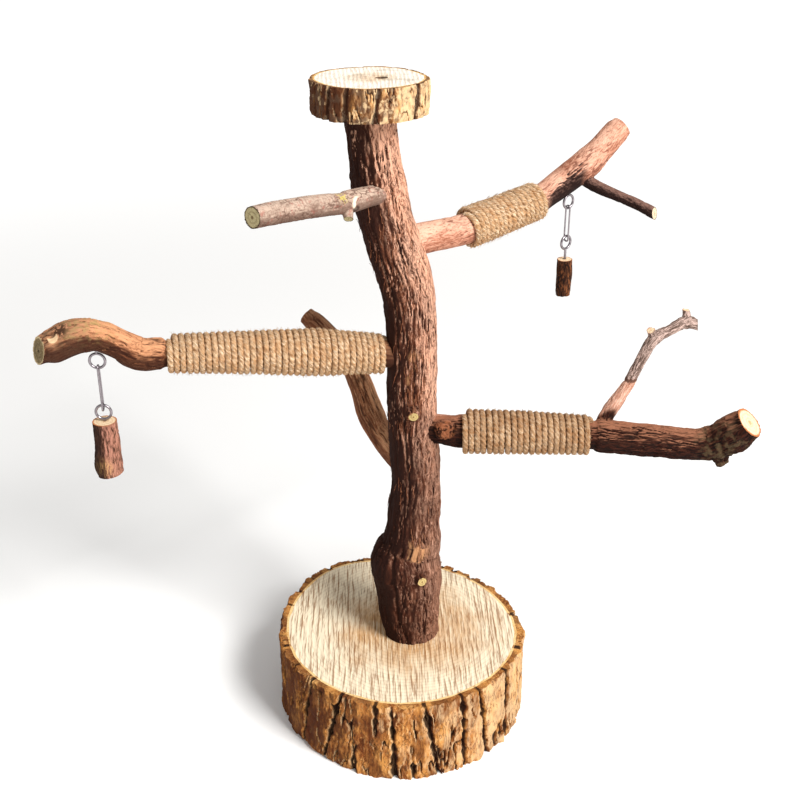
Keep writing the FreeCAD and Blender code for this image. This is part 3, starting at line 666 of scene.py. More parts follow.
def peel(name, wood, spots, finish):
    """Loose strings of bark: each spot has x and z, spreads in both, a count and a length in mm."""
    random = np.random.default_rng(5)
    skin, out = vertices_of(wood), normals_of(wood)
    front = skin[:, 1] < 4 * MM
    skin, out = skin[front], out[front]
    forward = 0.3 * (np.minimum(out[:, 1], 0) * MM) ** 2
    share = np.linspace(0, 1, 9)
    ends = np.abs(2 * share - 1)
    strings = empty_curve()
    strings.data.use_fill_caps = True
    for x, z, wide, tall, count, length in spots:
        for number in range(count):
            middle_x, middle_z = x + random.normal(0, wide), z + random.normal(0, tall)
            lean = random.normal(0, 0.1)
            size = length * random.uniform(0.5, 1.3)
            lift = random.uniform(0.1, 1.1)
            line = np.c_[middle_x + lean * size * share + 0.3 * np.sin(4 * share + number),
                         middle_z + size * (share - 0.5)] * MM
            near = [np.argmin(((skin[:, [0, 2]] - at) ** 2).sum(1) - forward) for at in line]
            rise = (0.15 + lift * np.maximum(0, ends - 0.5) * 2) * MM
            thread(strings, skin[near] + out[near] * rise[:, None], 1.1 - ends * 0.8)
    strings = as_mesh(strings, 0.56, 1)
    places = vertices_of(strings)
    store(strings, "grain", places)
    store(strings, "furrow", np.zeros(len(places)))
    hand_over(strings, name, "trunk", (finish,))


trunk_bark = bark("stringy_bark", (62, 28, 17), (120, 66, 44), (190, 128, 94),
                  (38, 18, 11), length=0.1, hair=1.0, curl=3.0, bump=1.0, extra=trunk_marks)
trunk = wooden(
    "trunk", (extend(TRUNK, 3, 3), UPPER_KNOT, LOWER_KNOT), 0.82, trunk_relief,
    ((TRUNK[0][:3], (0, 0, -1), 44), (TRUNK[-1][:3], (0, 0, 1), 40),
     ((9, -19.4, 249), (0.1, -1, -0.25), 6), ((15.6, -27, 123), (0.4, -1, 0), 6)),
    (trunk_bark, end_pale))
loose_bark = bark("loose_bark", (78, 38, 24), (124, 72, 48), (172, 118, 86),
                  (50, 24, 15), length=0.3)
peel("trunk_strings", trunk, (
    (8.5, 277, 2.2, 13, 34, 15), (9, 262, 3.5, 5, 14, 9), (2, 240, 7, 5, 12, 8),
    (-8, 368, 7, 18, 26, 12), (5, 318, 6, 26, 24, 12), (13, 150, 3, 9, 12, 8),
    (6, 190, 9, 26, 22, 11)), loose_bark)

# %% [markdown]
# ## The five perches
#
# Each perch is a branch of another kind or age, so each has its own bark. The stations repeat the
# CAD's, with thicker wood where the real rope of 4 mm lies on it.

# %% Grow the left perch
LEFT = (
    (3, -1, 286.4, 17), (-9, -3.4, 287.9, 18.5), (-54.6, -12.5, 293.1, 23.7),
    (-100, -21.6, 296.8, 20), (-147.6, -31.2, 300.2, 17), (-151.8, -32, 300.7, 21.4),
    (-164.5, -34.5, 301.7, 22), (-176.4, -36.9, 309.6, 19.6), (-186.6, -38.9, 315.2, 20),
    (-195.3, -40.6, 316.6, 22), (-204.3, -42.4, 315.4, 23), (-213.6, -44.8, 311.5, 22),
    (-223.2, -48.2, 309.1, 17))
end_grey = cut_end("grey_end", (206, 182, 140), (122, 104, 72), (74, 60, 42), 2)


def left_marks(finish, grain, hairs):
    """Yellow-green lichen on the crest, a pale scar with dark marks by the tip, and painted shade on
    the underside and where the perch meets the trunk.
    """
    spots = finish.cloud(finish.place(), 2.6, 4)
    lichen = finish.near((-196, -42, 327), 17, 0.6) * spots.between(0.46, 0.6)
    finish.paint(lichen * 0.55, (176, 152, 94))
    weathered = finish.near((-214, -46, 316), 24, 0.5) * (hairs + spots * 0.5).between(0.55, 0.85)
    finish.paint(weathered * 0.55, (128, 98, 76))
    # painted shade on the underside, which faces down and to the front
    under = (finish.facing((-0.2, -0.45, -1)) + (hairs - 0.5) * 1.1).between(-0.1, 0.45)
    finish.paint(under * 0.85, (50, 24, 15))
    scar = (finish.near((-212, -52.6, 320), 3.4, 0.1)
            * (1 - finish.near((-213.6, -51, 323), 3.9, 0.1)))
    # painted shade where the perch meets the trunk
    patch_mask = finish.near((-9, -14, 288), 10, 0.5)
    finish.paint(patch_mask * 0.8, (62, 34, 22))
    knots = (finish.near((-208, -49.5, 323.5), 5.2, 0.5) * spots.between(0.42, 0.52))
    finish.paint(knots * 0.9, (48, 27, 18))
    finish.paint(scar * 0.9, (228, 194, 152))


left_bark = bark("orange_bark", (84, 42, 25), (146, 88, 56), (214, 152, 110),
                 (48, 24, 15), length=0.12, curl=2.4, crown=0.32, extra=left_marks)
wooden("left_perch", (extend(LEFT, 0, 7),), 0.6, fibrous(0.7, 0.6, 5, 22, 0.35),
       ((LEFT[-1][:3], (-0.78, -0.6, 0.15), 17),), (left_bark, end_grey))

# %% Grow the lower right perch with its side twig and knob
LOWER_RIGHT = (
    (14.5, -1.3, 232.1, 20.6), (26, -4.4, 232.2, 20.8), (41, -7, 232.3, 23.2),
    (85, -8.3, 231.8, 22), (130.4, -9.7, 230.6, 19.2), (134, -9.8, 230.4, 22.4),
    (171.4, -10.9, 227.2, 22.6), (200.4, -11.7, 224.6, 22), (210.9, -13, 226.6, 24),
    (222.4, -18, 236.6, 26), (230.9, -23, 247.1, 21.5))
SIDE_TWIG = (
    (133.4, -9.8, 230.4, 12), (140.5, -1, 241.6, 9.4), (154.3, 7, 260.2, 8), (165, 15, 278.8, 8),
    (171.8, 19, 288.8, 9), (182.8, 24, 292.8, 7.2), (195.6, 29, 297.2, 9.4), (202.6, 28, 295.6, 6.8))
SPUR = ((195.6, 29, 297.2, 6.4), (194.4, 31, 305.2, 5))
SNAG = ((171.8, 19, 288.8, 7.4), (169.2, 20, 294.8, 5.8))
STUB = ((210.9, -13, 226.6, 17), (218.9, -16, 212.1, 9))
ROUND_KNOT = ((29.5, -5.5, 233, 14), (29.8, -13, 236.5, 14.4), (30, -17, 238.2, 12.6),
              (30, -19.3, 239.3, 7))
end_cream = cut_end("cream_end", (176, 106, 60), (232, 206, 170), (202, 160, 116), 3)


def lower_marks(finish, grain, hairs):
    """A grey twig with a pink foot, a greenish knob, the rings of the round knot, and painted shade on
    the perch's underside.
    """
    place = finish.place()
    height = finish.axis(place, "Z")
    beyond = finish.axis(place, "Y").between(-5 * MM, -2 * MM) * height.between(0.240, 0.244)
    grey = finish.mix(hairs.between(0.42, 0.62), (98, 78, 68), (196, 168, 156))
    pink = finish.mix(hairs.between(0.4, 0.65), (178, 124, 100), (224, 182, 160))
    twig = finish.mix(height.between(0.262, 0.266), pink, grey)
    finish.paint(beyond, twig)
    stray = (hairs - 0.5) * 1.2 + (finish.cloud(grain, 12, 3) - 0.5)
    # painted shade, nearly black, on the side that faces down and to the front, but not on the twig
    under = (finish.facing((-0.1, -0.75, -0.7)) + stray).between(-0.5, 0.4) * (1 - beyond)
    finish.paint(under * 0.94, finish.mix( hairs.between(0.42, 0.64), (16, 6, 4), (56, 22, 12)))
    ring_scar = beyond * (1 - abs(height - 0.264).between(0.0006, 0.0016))
    finish.paint(ring_scar * 0.8, (84, 52, 40))
    knob = finish.near((219, -15, 229), 20, 0.35) * finish.cloud(place, 5, 3).between(0.42, 0.62)
    finish.paint(knob * 0.5, (110, 92, 66))
    round_knot = finish.near((30, -18, 239), 7.5, 0.2)
    turns = finish.cloud(place, 3, 3)
    finish.paint(round_knot * turns.between(0.40, 0.58) * 0.7, (164, 100, 66))


def lower_relief(grain, places):
    """Rough bark, bumps on the knob, and a groove that curls round the knot."""
    height, furrow = fibrous(0.7, 0.9, 4.2, 22, 0.6)(grain, places)
    knob = np.linalg.norm(places - np.array((221, -16, 226)) * MM, axis=1) / MM
    near = np.clip(1.6 - knob / 14, 0, 1)
    height += near * (roughness(places, (5, 5, 5), 3, 11) * 1.5)
    off = (places - np.array((30, -19, 239.3)) * MM) / MM
    ring = np.hypot(off[:, 0], off[:, 2]) - 0.25 * np.arctan2(off[:, 2], off[:, 0])
    front = np.clip((-off[:, 1] + 7) / 3, 0, 1) * (off[:, 1] < 8)
    for radius, depth in ((6.8, 1.5), (3.9, 0.7), (1.9, 0.5)):
        groove = np.clip(1 - np.abs(ring - radius) / 0.9, 0, 1) * front
        height -= groove * depth
        furrow = np.clip(furrow + groove, 0, 1)
    return height, furrow


lower_bark = bark("dark_red_bark", (42, 18, 11), (76, 36, 23), (154, 102, 76),
                  (26, 12, 8), length=0.09, curl=2.2, crown=0.5, bump=1.1, extra=lower_marks)
wooden("lower_right_perch",
       (extend(LOWER_RIGHT, 0, 4), extend(SIDE_TWIG, 0, 3), extend(SPUR, 0, 2), extend(SNAG, 0, 2),
        extend(STUB, 0, 2), ROUND_KNOT), 0.6, lower_relief,
       (end_of(LOWER_RIGHT), (SIDE_TWIG[-1][:3], (1, -0.2, 0.1), 7), (SPUR[-1][:3], (0.1, 0, 1), 5.4),
        (SNAG[-1][:3], (-0.4, -0.3, 1), 5.4), end_of(STUB)),
       (lower_bark, end_cream))

# %% Grow the upper right perch with its forked twig
UPPER_RIGHT = (
    (3.5, 4.2, 361.9, 20.5), (16, 11, 362.7, 20.6), (41.5, 25.4, 364, 20.2), (66.6, 45, 367.2, 19),
    (94.4, 64.6, 372.3, 18.2), (97.5, 67.5, 373.7, 18.4), (109.9, 74, 381.2, 19.4),
    (119.6, 77, 388, 20.4), (127.8, 80.6, 393.4, 21), (138.3, 86.6, 402.2, 18.6),
    (148.1, 92.2, 411.8, 18.2), (152, 94.4, 414.8, 16))
FORK = ((119.6, 77, 388, 10.5), (130.2, 75, 381, 8.8), (146.2, 69, 374.6, 7.6),
        (160.8, 64, 369.5, 7.8), (172.8, 59.6, 364.1, 8.4))
end_white = cut_end("white_end", (58, 34, 26), (212, 190, 160), (176, 148, 118), 3)


def upper_marks(finish, grain, hairs):
    """Painted shade along the underside from the rope to the fork, and dark bark all over the forked
    twig, both painted lighter on top as painted light.
    """
    fork = finish.axis(grain, "X").between(0.24, 0.26)
    ragged = (finish.cloud(grain, 6, 3) - 0.5) * 0.9
    along = finish.axis(finish.place(), "X").between(0.094, 0.104)
    # painted shade along the underside, from the end of the rope to the fork
    under = (finish.facing((0.2, -0.55, -1)) + ragged * 0.35).between(0.08, 0.15) * along
    underside_shade = under * (1 - finish.axis(finish.place(), "X").between(0.122, 0.130))
    # the dark bark and the painted shade share one tone, lighter where it faces up as painted light
    dark = finish.mix((hairs * 0.8 + finish.facing((0.3, -0.3, 1)) * 0.3).between(0.45, 0.8),
                      (34, 18, 14), (124, 92, 80))
    finish.paint(finish.sum("MAXIMUM", fork, underside_shade), dark)


pink_bark = bark("pink_bark", (158, 100, 76), (196, 138, 112), (224, 176, 150),
                 (108, 60, 44), length=0.3, hair=0.9, patch=10, bump=0.6, crown=0.3,
                 contrast=0.8, extra=upper_marks)
wooden("upper_right_perch", (extend(UPPER_RIGHT, 0, 4), extend(FORK, 0, 4)), 0.6,
       fibrous(0.45, 0.35, 5, 16, 0.15),
       (end_of(UPPER_RIGHT), (FORK[-1][:3], (1, -0.7, 0.15), 10)), (pink_bark, end_white))

# %% Grow the back perch
BACK = (
    (5.8, 5, 197.8, 19), (-13.4, 22, 214.4, 18), (-20.6, 33, 224.3, 20), (-28.5, 46, 243.3, 17.5),
    (-35.8, 56, 255.2, 16.5), (-47.1, 65, 267.4, 15), (-60.2, 72, 277.7, 15.4),
    (-67.7, 76.5, 282.8, 12.4))


def back_marks(finish, grain, hairs):
    """Painted shade on the left side, and a darker tip."""
    # painted shade on the side that faces left, away from the lamp
    left = (finish.facing((-1, -0.3, -0.2)) + (finish.cloud(grain, 8, 3) - 0.5) * 0.8)
    tip = finish.axis(finish.place(), "Z").between(0.262, 0.276)
    shade = finish.sum("MAXIMUM", left.between(0.3, 0.8) * 0.6, tip * 0.6)
    finish.paint(shade, (80, 44, 29))


back_bark = bark("old_bark", (112, 66, 42), (182, 118, 80), (226, 172, 130),
                 (56, 30, 18), length=0.05, hair=1.3, extra=back_marks)
wooden("back_perch", (extend(BACK, 0, 4),), 0.6, fibrous(0.6, 0.7, 5, 34, 0.2), (end_of(BACK),),
       (back_bark, end_grey))

# %% Grow the upper left perch
UPPER_LEFT = (
    (-7, -6.6, 398.3, 12.8), (-14, -14, 398.6, 13), (-31.2, -33, 399.4, 14.2),
    (-34.2, -36.2, 399.5, 13), (-44.2, -46.5, 401.5, 13.4), (-70.2, -76.5, 406.1, 13.4),
    (-81.2, -90, 407.4, 13))
BROKEN_SHOOT = ((-32, -34, 399.4, 9), (-31, -38, 394, 7), (-30.6, -40, 391, 6))
end_olive = cut_end("olive_end", (74, 56, 34), (176, 162, 122), (112, 92, 62), 2)


def twig_marks(finish, grain, hairs):
    """Fine rings across the twig, reddish mottling, painted shade on its underside, lichen, and a
    crescent scar with the painted shade of a hollow by it.
    """
    place = finish.place()
    rings = finish.cloud(finish.stretched(grain, (0.25, 0.25, 1)), 1.5, 3)
    finish.paint((1 - rings.between(0.36, 0.46)) * 0.45, (112, 80, 68))
    mottle = finish.cloud(place, 3.2, 3).between(0.55, 0.68)
    finish.paint(mottle * 0.5, (150, 84, 72))
    # painted shade on the underside
    under = finish.facing((0.1, -0.2, -1)).between(-0.1, 0.8)
    finish.paint(under * 0.6, (84, 60, 50))
    lichen = finish.near((-34, -41, 405), 3.6, 0.6) * finish.cloud(place, 1.6, 3).between(0.46, 0.56)
    finish.paint(lichen * 0.7, (200, 184, 96))
    scar = finish.near((-27, -35, 399.6), 4.2, 0.12) * (1 - finish.near((-25.4, -34, 399.4), 3.7, 0.12))
    # painted shade for a hollow by the scar, which is not carved
    hollow = finish.near((-26, -36, 396), 2.6, 0.3)
    finish.paint(scar * 0.9, (232, 214, 190))
    finish.paint(hollow * 0.85, (58, 38, 32))


grey_bark = bark("grey_bark", (122, 98, 84), (150, 124, 108), (184, 160, 142),
                 (96, 70, 58), length=0.5, hair=1.4, patch=8, bump=0.35, crown=0.3,
                 contrast=0.5, extra=twig_marks)
wooden("upper_left_perch", (extend(UPPER_LEFT, 0, 4), extend(BROKEN_SHOOT, 0, 2)), 0.55,
       fibrous(0.4, 0.3, 4, 6, 0.12),
       (end_of(UPPER_LEFT), (BROKEN_SHOOT[-1][:3], (0, -0.7, -0.7), 6)), (grey_bark, end_olive))

# %% [markdown]
# ## The hanging logs
#
# Two bits of branch hang under the perches. They are small, so their sawn ends matter.

# %% Grow the two hanging logs
LEFT_LOG = ((-190, -39.6, 218.4, 17), (-190.9, -39.6, 224.6, 18.6), (-189.9, -39.6, 238.6, 16.8),
            (-190, -39.6, 256.6, 16))
RIGHT_LOG = ((116.4, 76, 299.3, 10.6), (116.2, 76, 302.7, 11.2), (116.5, 76, 314.4, 11.6),
             (116.3, 76, 325.9, 11))


def toy_marks(finish, grain, hairs):
    """One log gets painted shade on its left and pinkish painted light on its right."""
    # painted light on the side that faces right, towards the lamp, and painted shade on the side that
    # faces left
    side = (finish.facing((1, -0.35, 0.1)) + (hairs - 0.5) * 0.8).between(-0.05, 0.6)
    shadow = (finish.facing((-1, -0.25, 0)) + (hairs - 0.5) * 0.7).between(0.1, 0.6)
    finish.paint(side * hairs.between(0.38, 0.60) * 0.8, (182, 126, 106))
    moss = finish.near((-194, -47, 226), 7, 0.5) * hairs.between(0.46, 0.56)
    finish.paint(moss * 0.6, (190, 150, 84))
    finish.paint(shadow * 0.8, (42, 24, 18))


toy_bark = bark("toy_bark", (62, 34, 24), (104, 66, 48), (170, 122, 98),
                (38, 21, 14), length=0.16, extra=toy_marks)
dark_toy_bark = bark("dark_toy_bark", (32, 17, 11), (60, 34, 22), (154, 92, 52),
                     (20, 10, 7), length=0.2, patch=6)
for side, log, finish in (("left", LEFT_LOG, toy_bark), ("right", RIGHT_LOG, dark_toy_bark)):
    wooden(side + "_toy_log", (extend(log, 3, 3),), 0.4, fibrous(0.4, 0.5, 4, 14, 0.2),
           (end_of(log), end_of(log[::-1])), (finish, end_cream), side + "_toy")

# %% [markdown]
# ## The two slices of log
#
# A slice has flat sawn faces and a thick, cracked rim of bark. It starts as a circle of many
# points, drawn up in rows to a rim. The rows are then pushed out to the log's outline and in
# at the cracks, and the faces are inset so that bark, sapwood and heart have edges of their own.


# %% Make the slices
def ring_reach(reaches, angles):
    """The outline's reach at angles, a smooth line through equally spaced values."""
    count = len(reaches)
    at = angles / TURN * count
    low = np.floor(at).astype(int)
    t = at - low
    a, b, c, d = (np.array(reaches, float)[(low + step) % count] for step in (-1, 0, 1, 2))
    return b + 0.5 * t * (c - a + t * (2 * a - 5 * b + 4 * c - d + t * (3 * (b - c) + d - a)))


def furrows_at(furrows, angle, share, reach, wander, flare):
    """How deep in millimetres the main furrows go at an angle and a share of the height."""
    deepest = np.zeros(len(angle))
    for foot_turn, top_turn, foot_depth, top_depth in furrows:
        turn = math.radians(foot_turn) + math.radians(top_turn - foot_turn) * share
        aside = apart(angle, turn) * reach
        depth = foot_depth + (top_depth - foot_depth) * share
        deepest = np.maximum(deepest, depth - np.abs(aside + wander) / flare)
    return deepest


def drill(piece, mouths, width, depth):
    """Bore round holes of a width and depth, in millimetres, straight up or down from mouths."""
    for x, y, z, way in mouths:
        bpy.ops.mesh.primitive_cylinder_add(
            vertices=48, radius=width / 2 * MM, depth=(depth + 1) * MM,
            location=(x * MM, y * MM, (z + way * (depth - 1) / 2) * MM))
        bit = bpy.context.object
        for finish in piece.data.materials[:]:
            bit.data.materials.append(finish)
        for face in bit.data.polygons:
            face.material_index = 1
        bore = piece.modifiers.new("bore", "BOOLEAN")
        bore.object = bit
        bore.operation = "DIFFERENCE"
        bore.solver = "EXACT"
        select_only(piece)
        bpy.ops.object.modifier_apply(modifier=bore.name)
        bpy.data.objects.remove(bit)


def slice_sides(reaches, centre, low, high, around, rows, bark_thick, crack, furrows, flare):
    """The rim of a slice: rows of points, pushed out to the bark and in at its cracks."""
    bpy.ops.mesh.primitive_circle_add(vertices=around, radius=1, location=(0, 0, 0))
    piece = bpy.context.object
    with editing("EDGE"):
        bpy.ops.mesh.select_all(action="SELECT")
        for row in range(rows):
            bpy.ops.mesh.extrude_region_move(TRANSFORM_OT_translate={"value": (0, 0, 1)})
    places = vertices_of(piece)
    angle = np.arctan2(places[:, 1], places[:, 0]) % TURN
    share = places[:, 2] / rows
    height = low + (high - low) * share
    reach = ring_reach(reaches, angle)
    spot = np.stack([reach * np.cos(angle), reach * np.sin(angle), height], 1) * MM

    def rough(across, along, octaves, seed, scale=crack):
        return roughness(spot, np.array((across, across, along)) * scale, octaves, seed)

    wander = 2.2 * rough(14, 8, 3, 6, 1) * crack
    main = furrows_at(furrows, angle, share, reach, wander, flare)
    main *= np.clip(1 + 0.5 * rough(16, 12, 2, 8, 1), 0.4, 1.25)
    cracks = crease(rough(10, 46, 3, 1), 0.09)
    cracks *= np.clip(rough(20, 22, 2, 3) * 4 + 0.5, 0, 1)
    plates = rough(11, 30, 2, 7)
    flakes = np.round(plates * 3.5) / 3.5 * 0.7 + plates * 0.3
    broken = np.clip(rough(8, 8, 3, 5, 1) * 1.6 + 0.5, 0, 1.4)
    edge = np.minimum(height - low, high - height)
    chipped = np.clip(1 - edge / (3.4 * crack), 0, 1) * broken
    inward = np.minimum(main + cracks * 0.5 * bark_thick, bark_thick * 0.94)
    reach = reach + flakes * 1.5 * crack + rough(2.2, 5, 3, 4, 1) * 0.4 - inward - chipped * 1.5 * crack
    places[:, 0] = centre[0] + reach * np.cos(angle)
    places[:, 1] = centre[1] + reach * np.sin(angle)
    places[:, 2] = height
    piece.data.vertices.foreach_set("co", (places * MM).ravel())
    piece.data.update()
    store(piece, "furrow", np.clip(main / (0.47 * bark_thick) + cracks, 0, 1))
    store(piece, "flake", np.clip(flakes * 0.5 + 0.5, 0, 1))
    return piece


def close_face(piece, level):
    """Close the rim at a height in millimetres with one flat face."""
    heights = vertices_of(piece)[:, 2]
    piece.data.vertices.foreach_set("select", np.abs(heights - level * MM) < 0.01 * MM)
    piece.data.edges.foreach_set("select", np.zeros(len(piece.data.edges), bool))
    piece.data.polygons.foreach_set("select", np.zeros(len(piece.data.polygons), bool))
    with editing("VERT"):
        bpy.ops.mesh.edge_face_add()
        bpy.ops.mesh.select_mode(type="FACE")


def ring_face(piece, level, reaches, centre, bark_thick, crack):
    """Part a flat face into the bark's ring, a thin ring of yellow inner bark, and the wood."""
    middle = Vector((*centre, 0)) * MM
    for face in piece.data.polygons:
        face.select = len(face.vertices) > 12 and abs(face.center.z - level * MM) < 0.01 * MM
    with editing("FACE"):
        bpy.ops.mesh.normals_make_consistent(inside=False)
        bpy.ops.mesh.inset(thickness=0.3 * MM, depth=0)
    chosen = [face for face in piece.data.polygons if face.select]
    for number in sorted({v for face in chosen for v in face.vertices}):
        point = piece.data.vertices[number]
        turn = math.atan2(point.co.y - middle.y, point.co.x - middle.x) % TURN
        ragged = 0.5 * noise.noise(Vector((math.cos(turn) * 9, math.sin(turn) * 9, level)))
        radius = (ring_reach(reaches, np.array([turn]))[0] - bark_thick + ragged) * MM
        point.co.xy = (middle.x + radius * math.cos(turn), middle.y + radius * math.sin(turn))
    for face in chosen:
        face.material_index = 1
    with editing("FACE"):
        bpy.ops.mesh.inset(thickness=0.3 * MM, depth=0)
    wood = max((face for face in piece.data.polygons if face.select),
               key=lambda face: len(face.vertices))
    for number in wood.vertices:
        point = piece.data.vertices[number]
        out = Vector((point.co.x - middle.x, point.co.y - middle.y, 0)).normalized()
        ragged = noise.noise(Vector((point.co.x * 90, point.co.y * 90, level)))
        point.co -= out * ((1.3 + 0.7 * ragged) * crack * MM)
    for face in piece.data.polygons:
        if face.select or (len(face.vertices) == 4 and face.material_index == 1):
            face.material_index = 2
    wood.material_index = 1


def log_slice(name, reaches, centre, low, high, around, rows, bark_thick, crack, furrows, flare,
              finishes, holes, hole_width, hole_depth):
    """A slice of log between two heights; all sizes are in millimetres."""
    piece = slice_sides(reaches, centre, low, high, around, rows, bark_thick, crack, furrows, flare)
    for level in (low, high):
        close_face(piece, level)
    for level in (low, high):
        ring_face(piece, level, reaches, centre, bark_thick, crack)
    select_only(piece)
    with editing("FACE"):
        bpy.ops.mesh.select_all(action="SELECT")
        bpy.ops.mesh.normals_make_consistent(inside=False)
    for finish in finishes:
        piece.data.materials.append(finish)
    drill(piece, holes, hole_width, hole_depth)
    store(piece, "grain", vertices_of(piece) - np.array([*centre, 0]) * MM)
    hand_over(piece, name + "_wood", name, edge=40)


BASE_REACHES = (92, 90, 91, 95, 101, 95, 90, 88, 88, 90, 90, 91)
PLATFORM_REACHES = (36.3, 35.6, 36.8, 36.4, 35.4, 36.6, 36.2, 35.8, 36.4, 36.8, 35.8, 36.3)
# turn at the underside and at the top, depth at the underside and at the top
BASE_FURROWS = (
    (-163, -166, 3.6, 3.8), (-144, -136, 4.2, 3), (-129, -118, 3.2, 3.6), (-112, -111, 4, -0.8),
    (-102, -101, -0.8, 4.2), (-92, -94, 4.4, 3.2), (-84, -86, 3.8, -0.8), (-72, -79, 3, 4.4),
    (-59, -61, 3.4, 3.8), (-46, -52, 3.6, 3.2), (-32, -33, 4.2, 3.4), (-17, -15, 3.4, 3.8),
    (0, 3, 4, -0.8), (14, 12, 3.2, 4), (31, 29, 3.8, 3), (47, 50, -0.8, 4), (63, 60, 4.2, 3.4),
    (80, 83, 3.4, 3.8), (97, 94, 4, 3), (113, 115, 3.2, -0.8), (128, 126, 3.8, 4),
    (146, 149, 4.2, 3.2), (163, 161, 3.4, 3.8), (179, 182, 4, -0.8))
PLATFORM_FURROWS = (
    (-154, -150, 1.2, 0.8), (-134, -129, 2.0, 1.9), (-113, -110, 2.2, 2.2), (-98, -95, -0.4, 1.0),
    (-85, -80, 2.2, 1.9), (-64, -66, -0.4, 1.2), (-41, -35, 1.9, 1.9), (-22, -26, 1.2, 1.0),
    (-6, -3, 1.4, 1.2), (20, 17, 1.7, 1.5), (44, 47, 1.2, 1.7), (70, 67, 1.6, 1.4),
    (98, 101, 1.5, 1.8), (124, 121, 1.8, 1.2), (148, 151, 1.3, 1.6), (172, 170, 1.7, 1.5))


def plate_marks(finish, grain, hairs):
    """Plates of bark in gold and brown, and thin dark lines between flakes."""
    flake = finish.stored("flake")
    gold = (flake * 0.8 + finish.cloud(grain, 9, 4) * 0.9).between(0.72, 1.12)
    finish.paint(gold * 0.6, (226, 160, 84))
    rust = (finish.cloud(finish.stretched(grain, (1, 1, 0.5)), 17, 4) + (hairs - 0.5) * 0.5)
    finish.paint(rust.between(0.47, 0.60) * 0.75, (98, 48, 21))
    stray = (finish.cloud(grain, 14, 4) - 0.5) * 1.4 + (hairs - 0.5) * 0.6
    # painted shade on the side that faces left, away from the lamp, and painted light on the side that
    # faces right
    left = (finish.facing((-1, -0.2, 0)) + stray).between(0.3, 1.0)
    right = (finish.facing((1, -0.5, 0)) + stray).between(0.4, 1.2)
    finish.paint(left * 0.85, (72, 30, 12))
    finish.paint(right * 0.6, (240, 204, 156))
    lines = finish.cloud(finish.warped(finish.stretched(grain, (1, 1, 0.3)), 6, 3), 5, 3)
    finish.paint((1 - abs(lines - 0.5).between(0.006, 0.03)) * 0.55, (66, 34, 16))
    # darker in the furrows: partly the bark's own colour there, partly painted shade
    finish.paint(finish.stored("furrow").between(0.25, 0.8) * 0.9, (38, 19, 11))


log_bark = bark("log_bark", (128, 68, 30), (190, 122, 60), (232, 180, 112),
                (56, 28, 14), length=0.22, hair=1.6, patch=18, curl=2.6, bump=1.1, crown=0.1,
                extra=plate_marks)


def grey_plates(finish, grain, hairs):
    """The platform's bark is duller, with grey and olive patches, painted shade on its left side, and
    pale patches that gather on its right side as painted light.
    """
    plate_marks(finish, grain, hairs)
    weather = finish.cloud(grain, 6, 4) + (hairs - 0.5) * 0.5
    finish.paint(weather.between(0.46, 0.60) * 0.6, (122, 104, 84))
    # painted shade on the side that faces left
    left = finish.facing((-1, -0.3, 0)).between(-0.3, 0.7)
    finish.paint(left * 0.6, (70, 38, 22))
    # pale patches, more of them on the side that faces right as painted light
    pale = (finish.cloud(grain, 5, 3) + finish.facing((1, -0.5, 0)) * 0.14).between(0.58, 0.68)
    finish.paint(pale * 0.7 * (1 - finish.stored("furrow")), (216, 184, 140))


rim_bark = bark("rim_bark", (100, 56, 30), (156, 108, 68), (206, 166, 120),
                (40, 20, 11), length=0.22, hair=1.3, patch=12, curl=2.2, crown=0.1,
                extra=grey_plates)
inner_bark = bark("inner_bark", (206, 150, 80), (230, 184, 112), (244, 210, 150), (150, 92, 44),
                  length=1, contrast=0.5)
base_face = slice_wood("base_face", (8.6, 0, 63), (242, 226, 196), (204, 160, 112), (138, 90, 50),
                       3.4, 3.9, 0.7, 80).done()


def platform_wood():
    """A paler face with grey spots, a brown streak, and painted shade on the floor of its recess."""
    finish = slice_wood("platform_face", (-18.3, 0, 466), (246, 236, 222), (226, 200, 168),
                        (188, 152, 116), 2.0, 2.6, 0.4, 24)
    place = finish.place()
    finish.paint(finish.cloud(place, 13, 4).between(0.52, 0.7) * 0.45, (150, 140, 118))
    streaks = finish.cloud(finish.stretched(place, (0.4, 1, 1)), 3, 3).between(0.5, 0.62)
    finish.paint(finish.near((-20, -2, 466), 9, 0.6) * streaks * 0.5, (150, 112, 82))
    # painted shade on the floor of the recess
    below = 1 - finish.axis(place, "Z").between(0.4652, 0.4658)
    finish.paint(finish.near((-11.3, 0, 464), 5.6, 0.1) * below * 0.9, (70, 42, 28))
    return finish.done()


# %% Put the slices where the trunk stands and ends
foot_x = TRUNK[0][0]
screw_turns = [math.radians(turn) for turn in (90, 210, 330)]
counterbores = [(foot_x + 12 * math.cos(turn), 12 * math.sin(turn), 0, 1) for turn in screw_turns]
log_slice("base_slice", BASE_REACHES, (0, 0), 0, 63, around=760, rows=60, bark_thick=5.5,
          crack=1.0, furrows=BASE_FURROWS, flare=0.6, finishes=(log_bark, base_face, inner_bark),
          holes=counterbores, hole_width=9.5, hole_depth=34)
log_slice("platform_slice", PLATFORM_REACHES, (-18.3, 0), 446, 466, around=440, rows=32,
          bark_thick=2.4, crack=0.6, furrows=PLATFORM_FURROWS, flare=1.1,
          finishes=(rim_bark, platform_wood(), inner_bark),
          holes=[(-11.3, 0, 466, -1)], hole_width=8.5, hole_depth=4)

# %% [markdown]
# ## Rope
#
# The rope is three strands of jute laid together, 4 mm thick, and wound turn against turn. Its
# profile has three lobes. A curve carries that profile round the perch, and the curve's tilt turns
# the lobes as it goes, which lays the strands.


# %% Wind the rope
ROPE = 4.0  # thickness in millimetres
LAY = 11.0  # millimetres in which a strand goes once round the rope
STEPS = 96  # points of the path in a turn round the perch
TUCK = 14  # of them dip under the rope at either end
RIM = 21  # points of the rope's outline
LOBE = 0.42  # how deep the strands part, as a share of the rope's radius


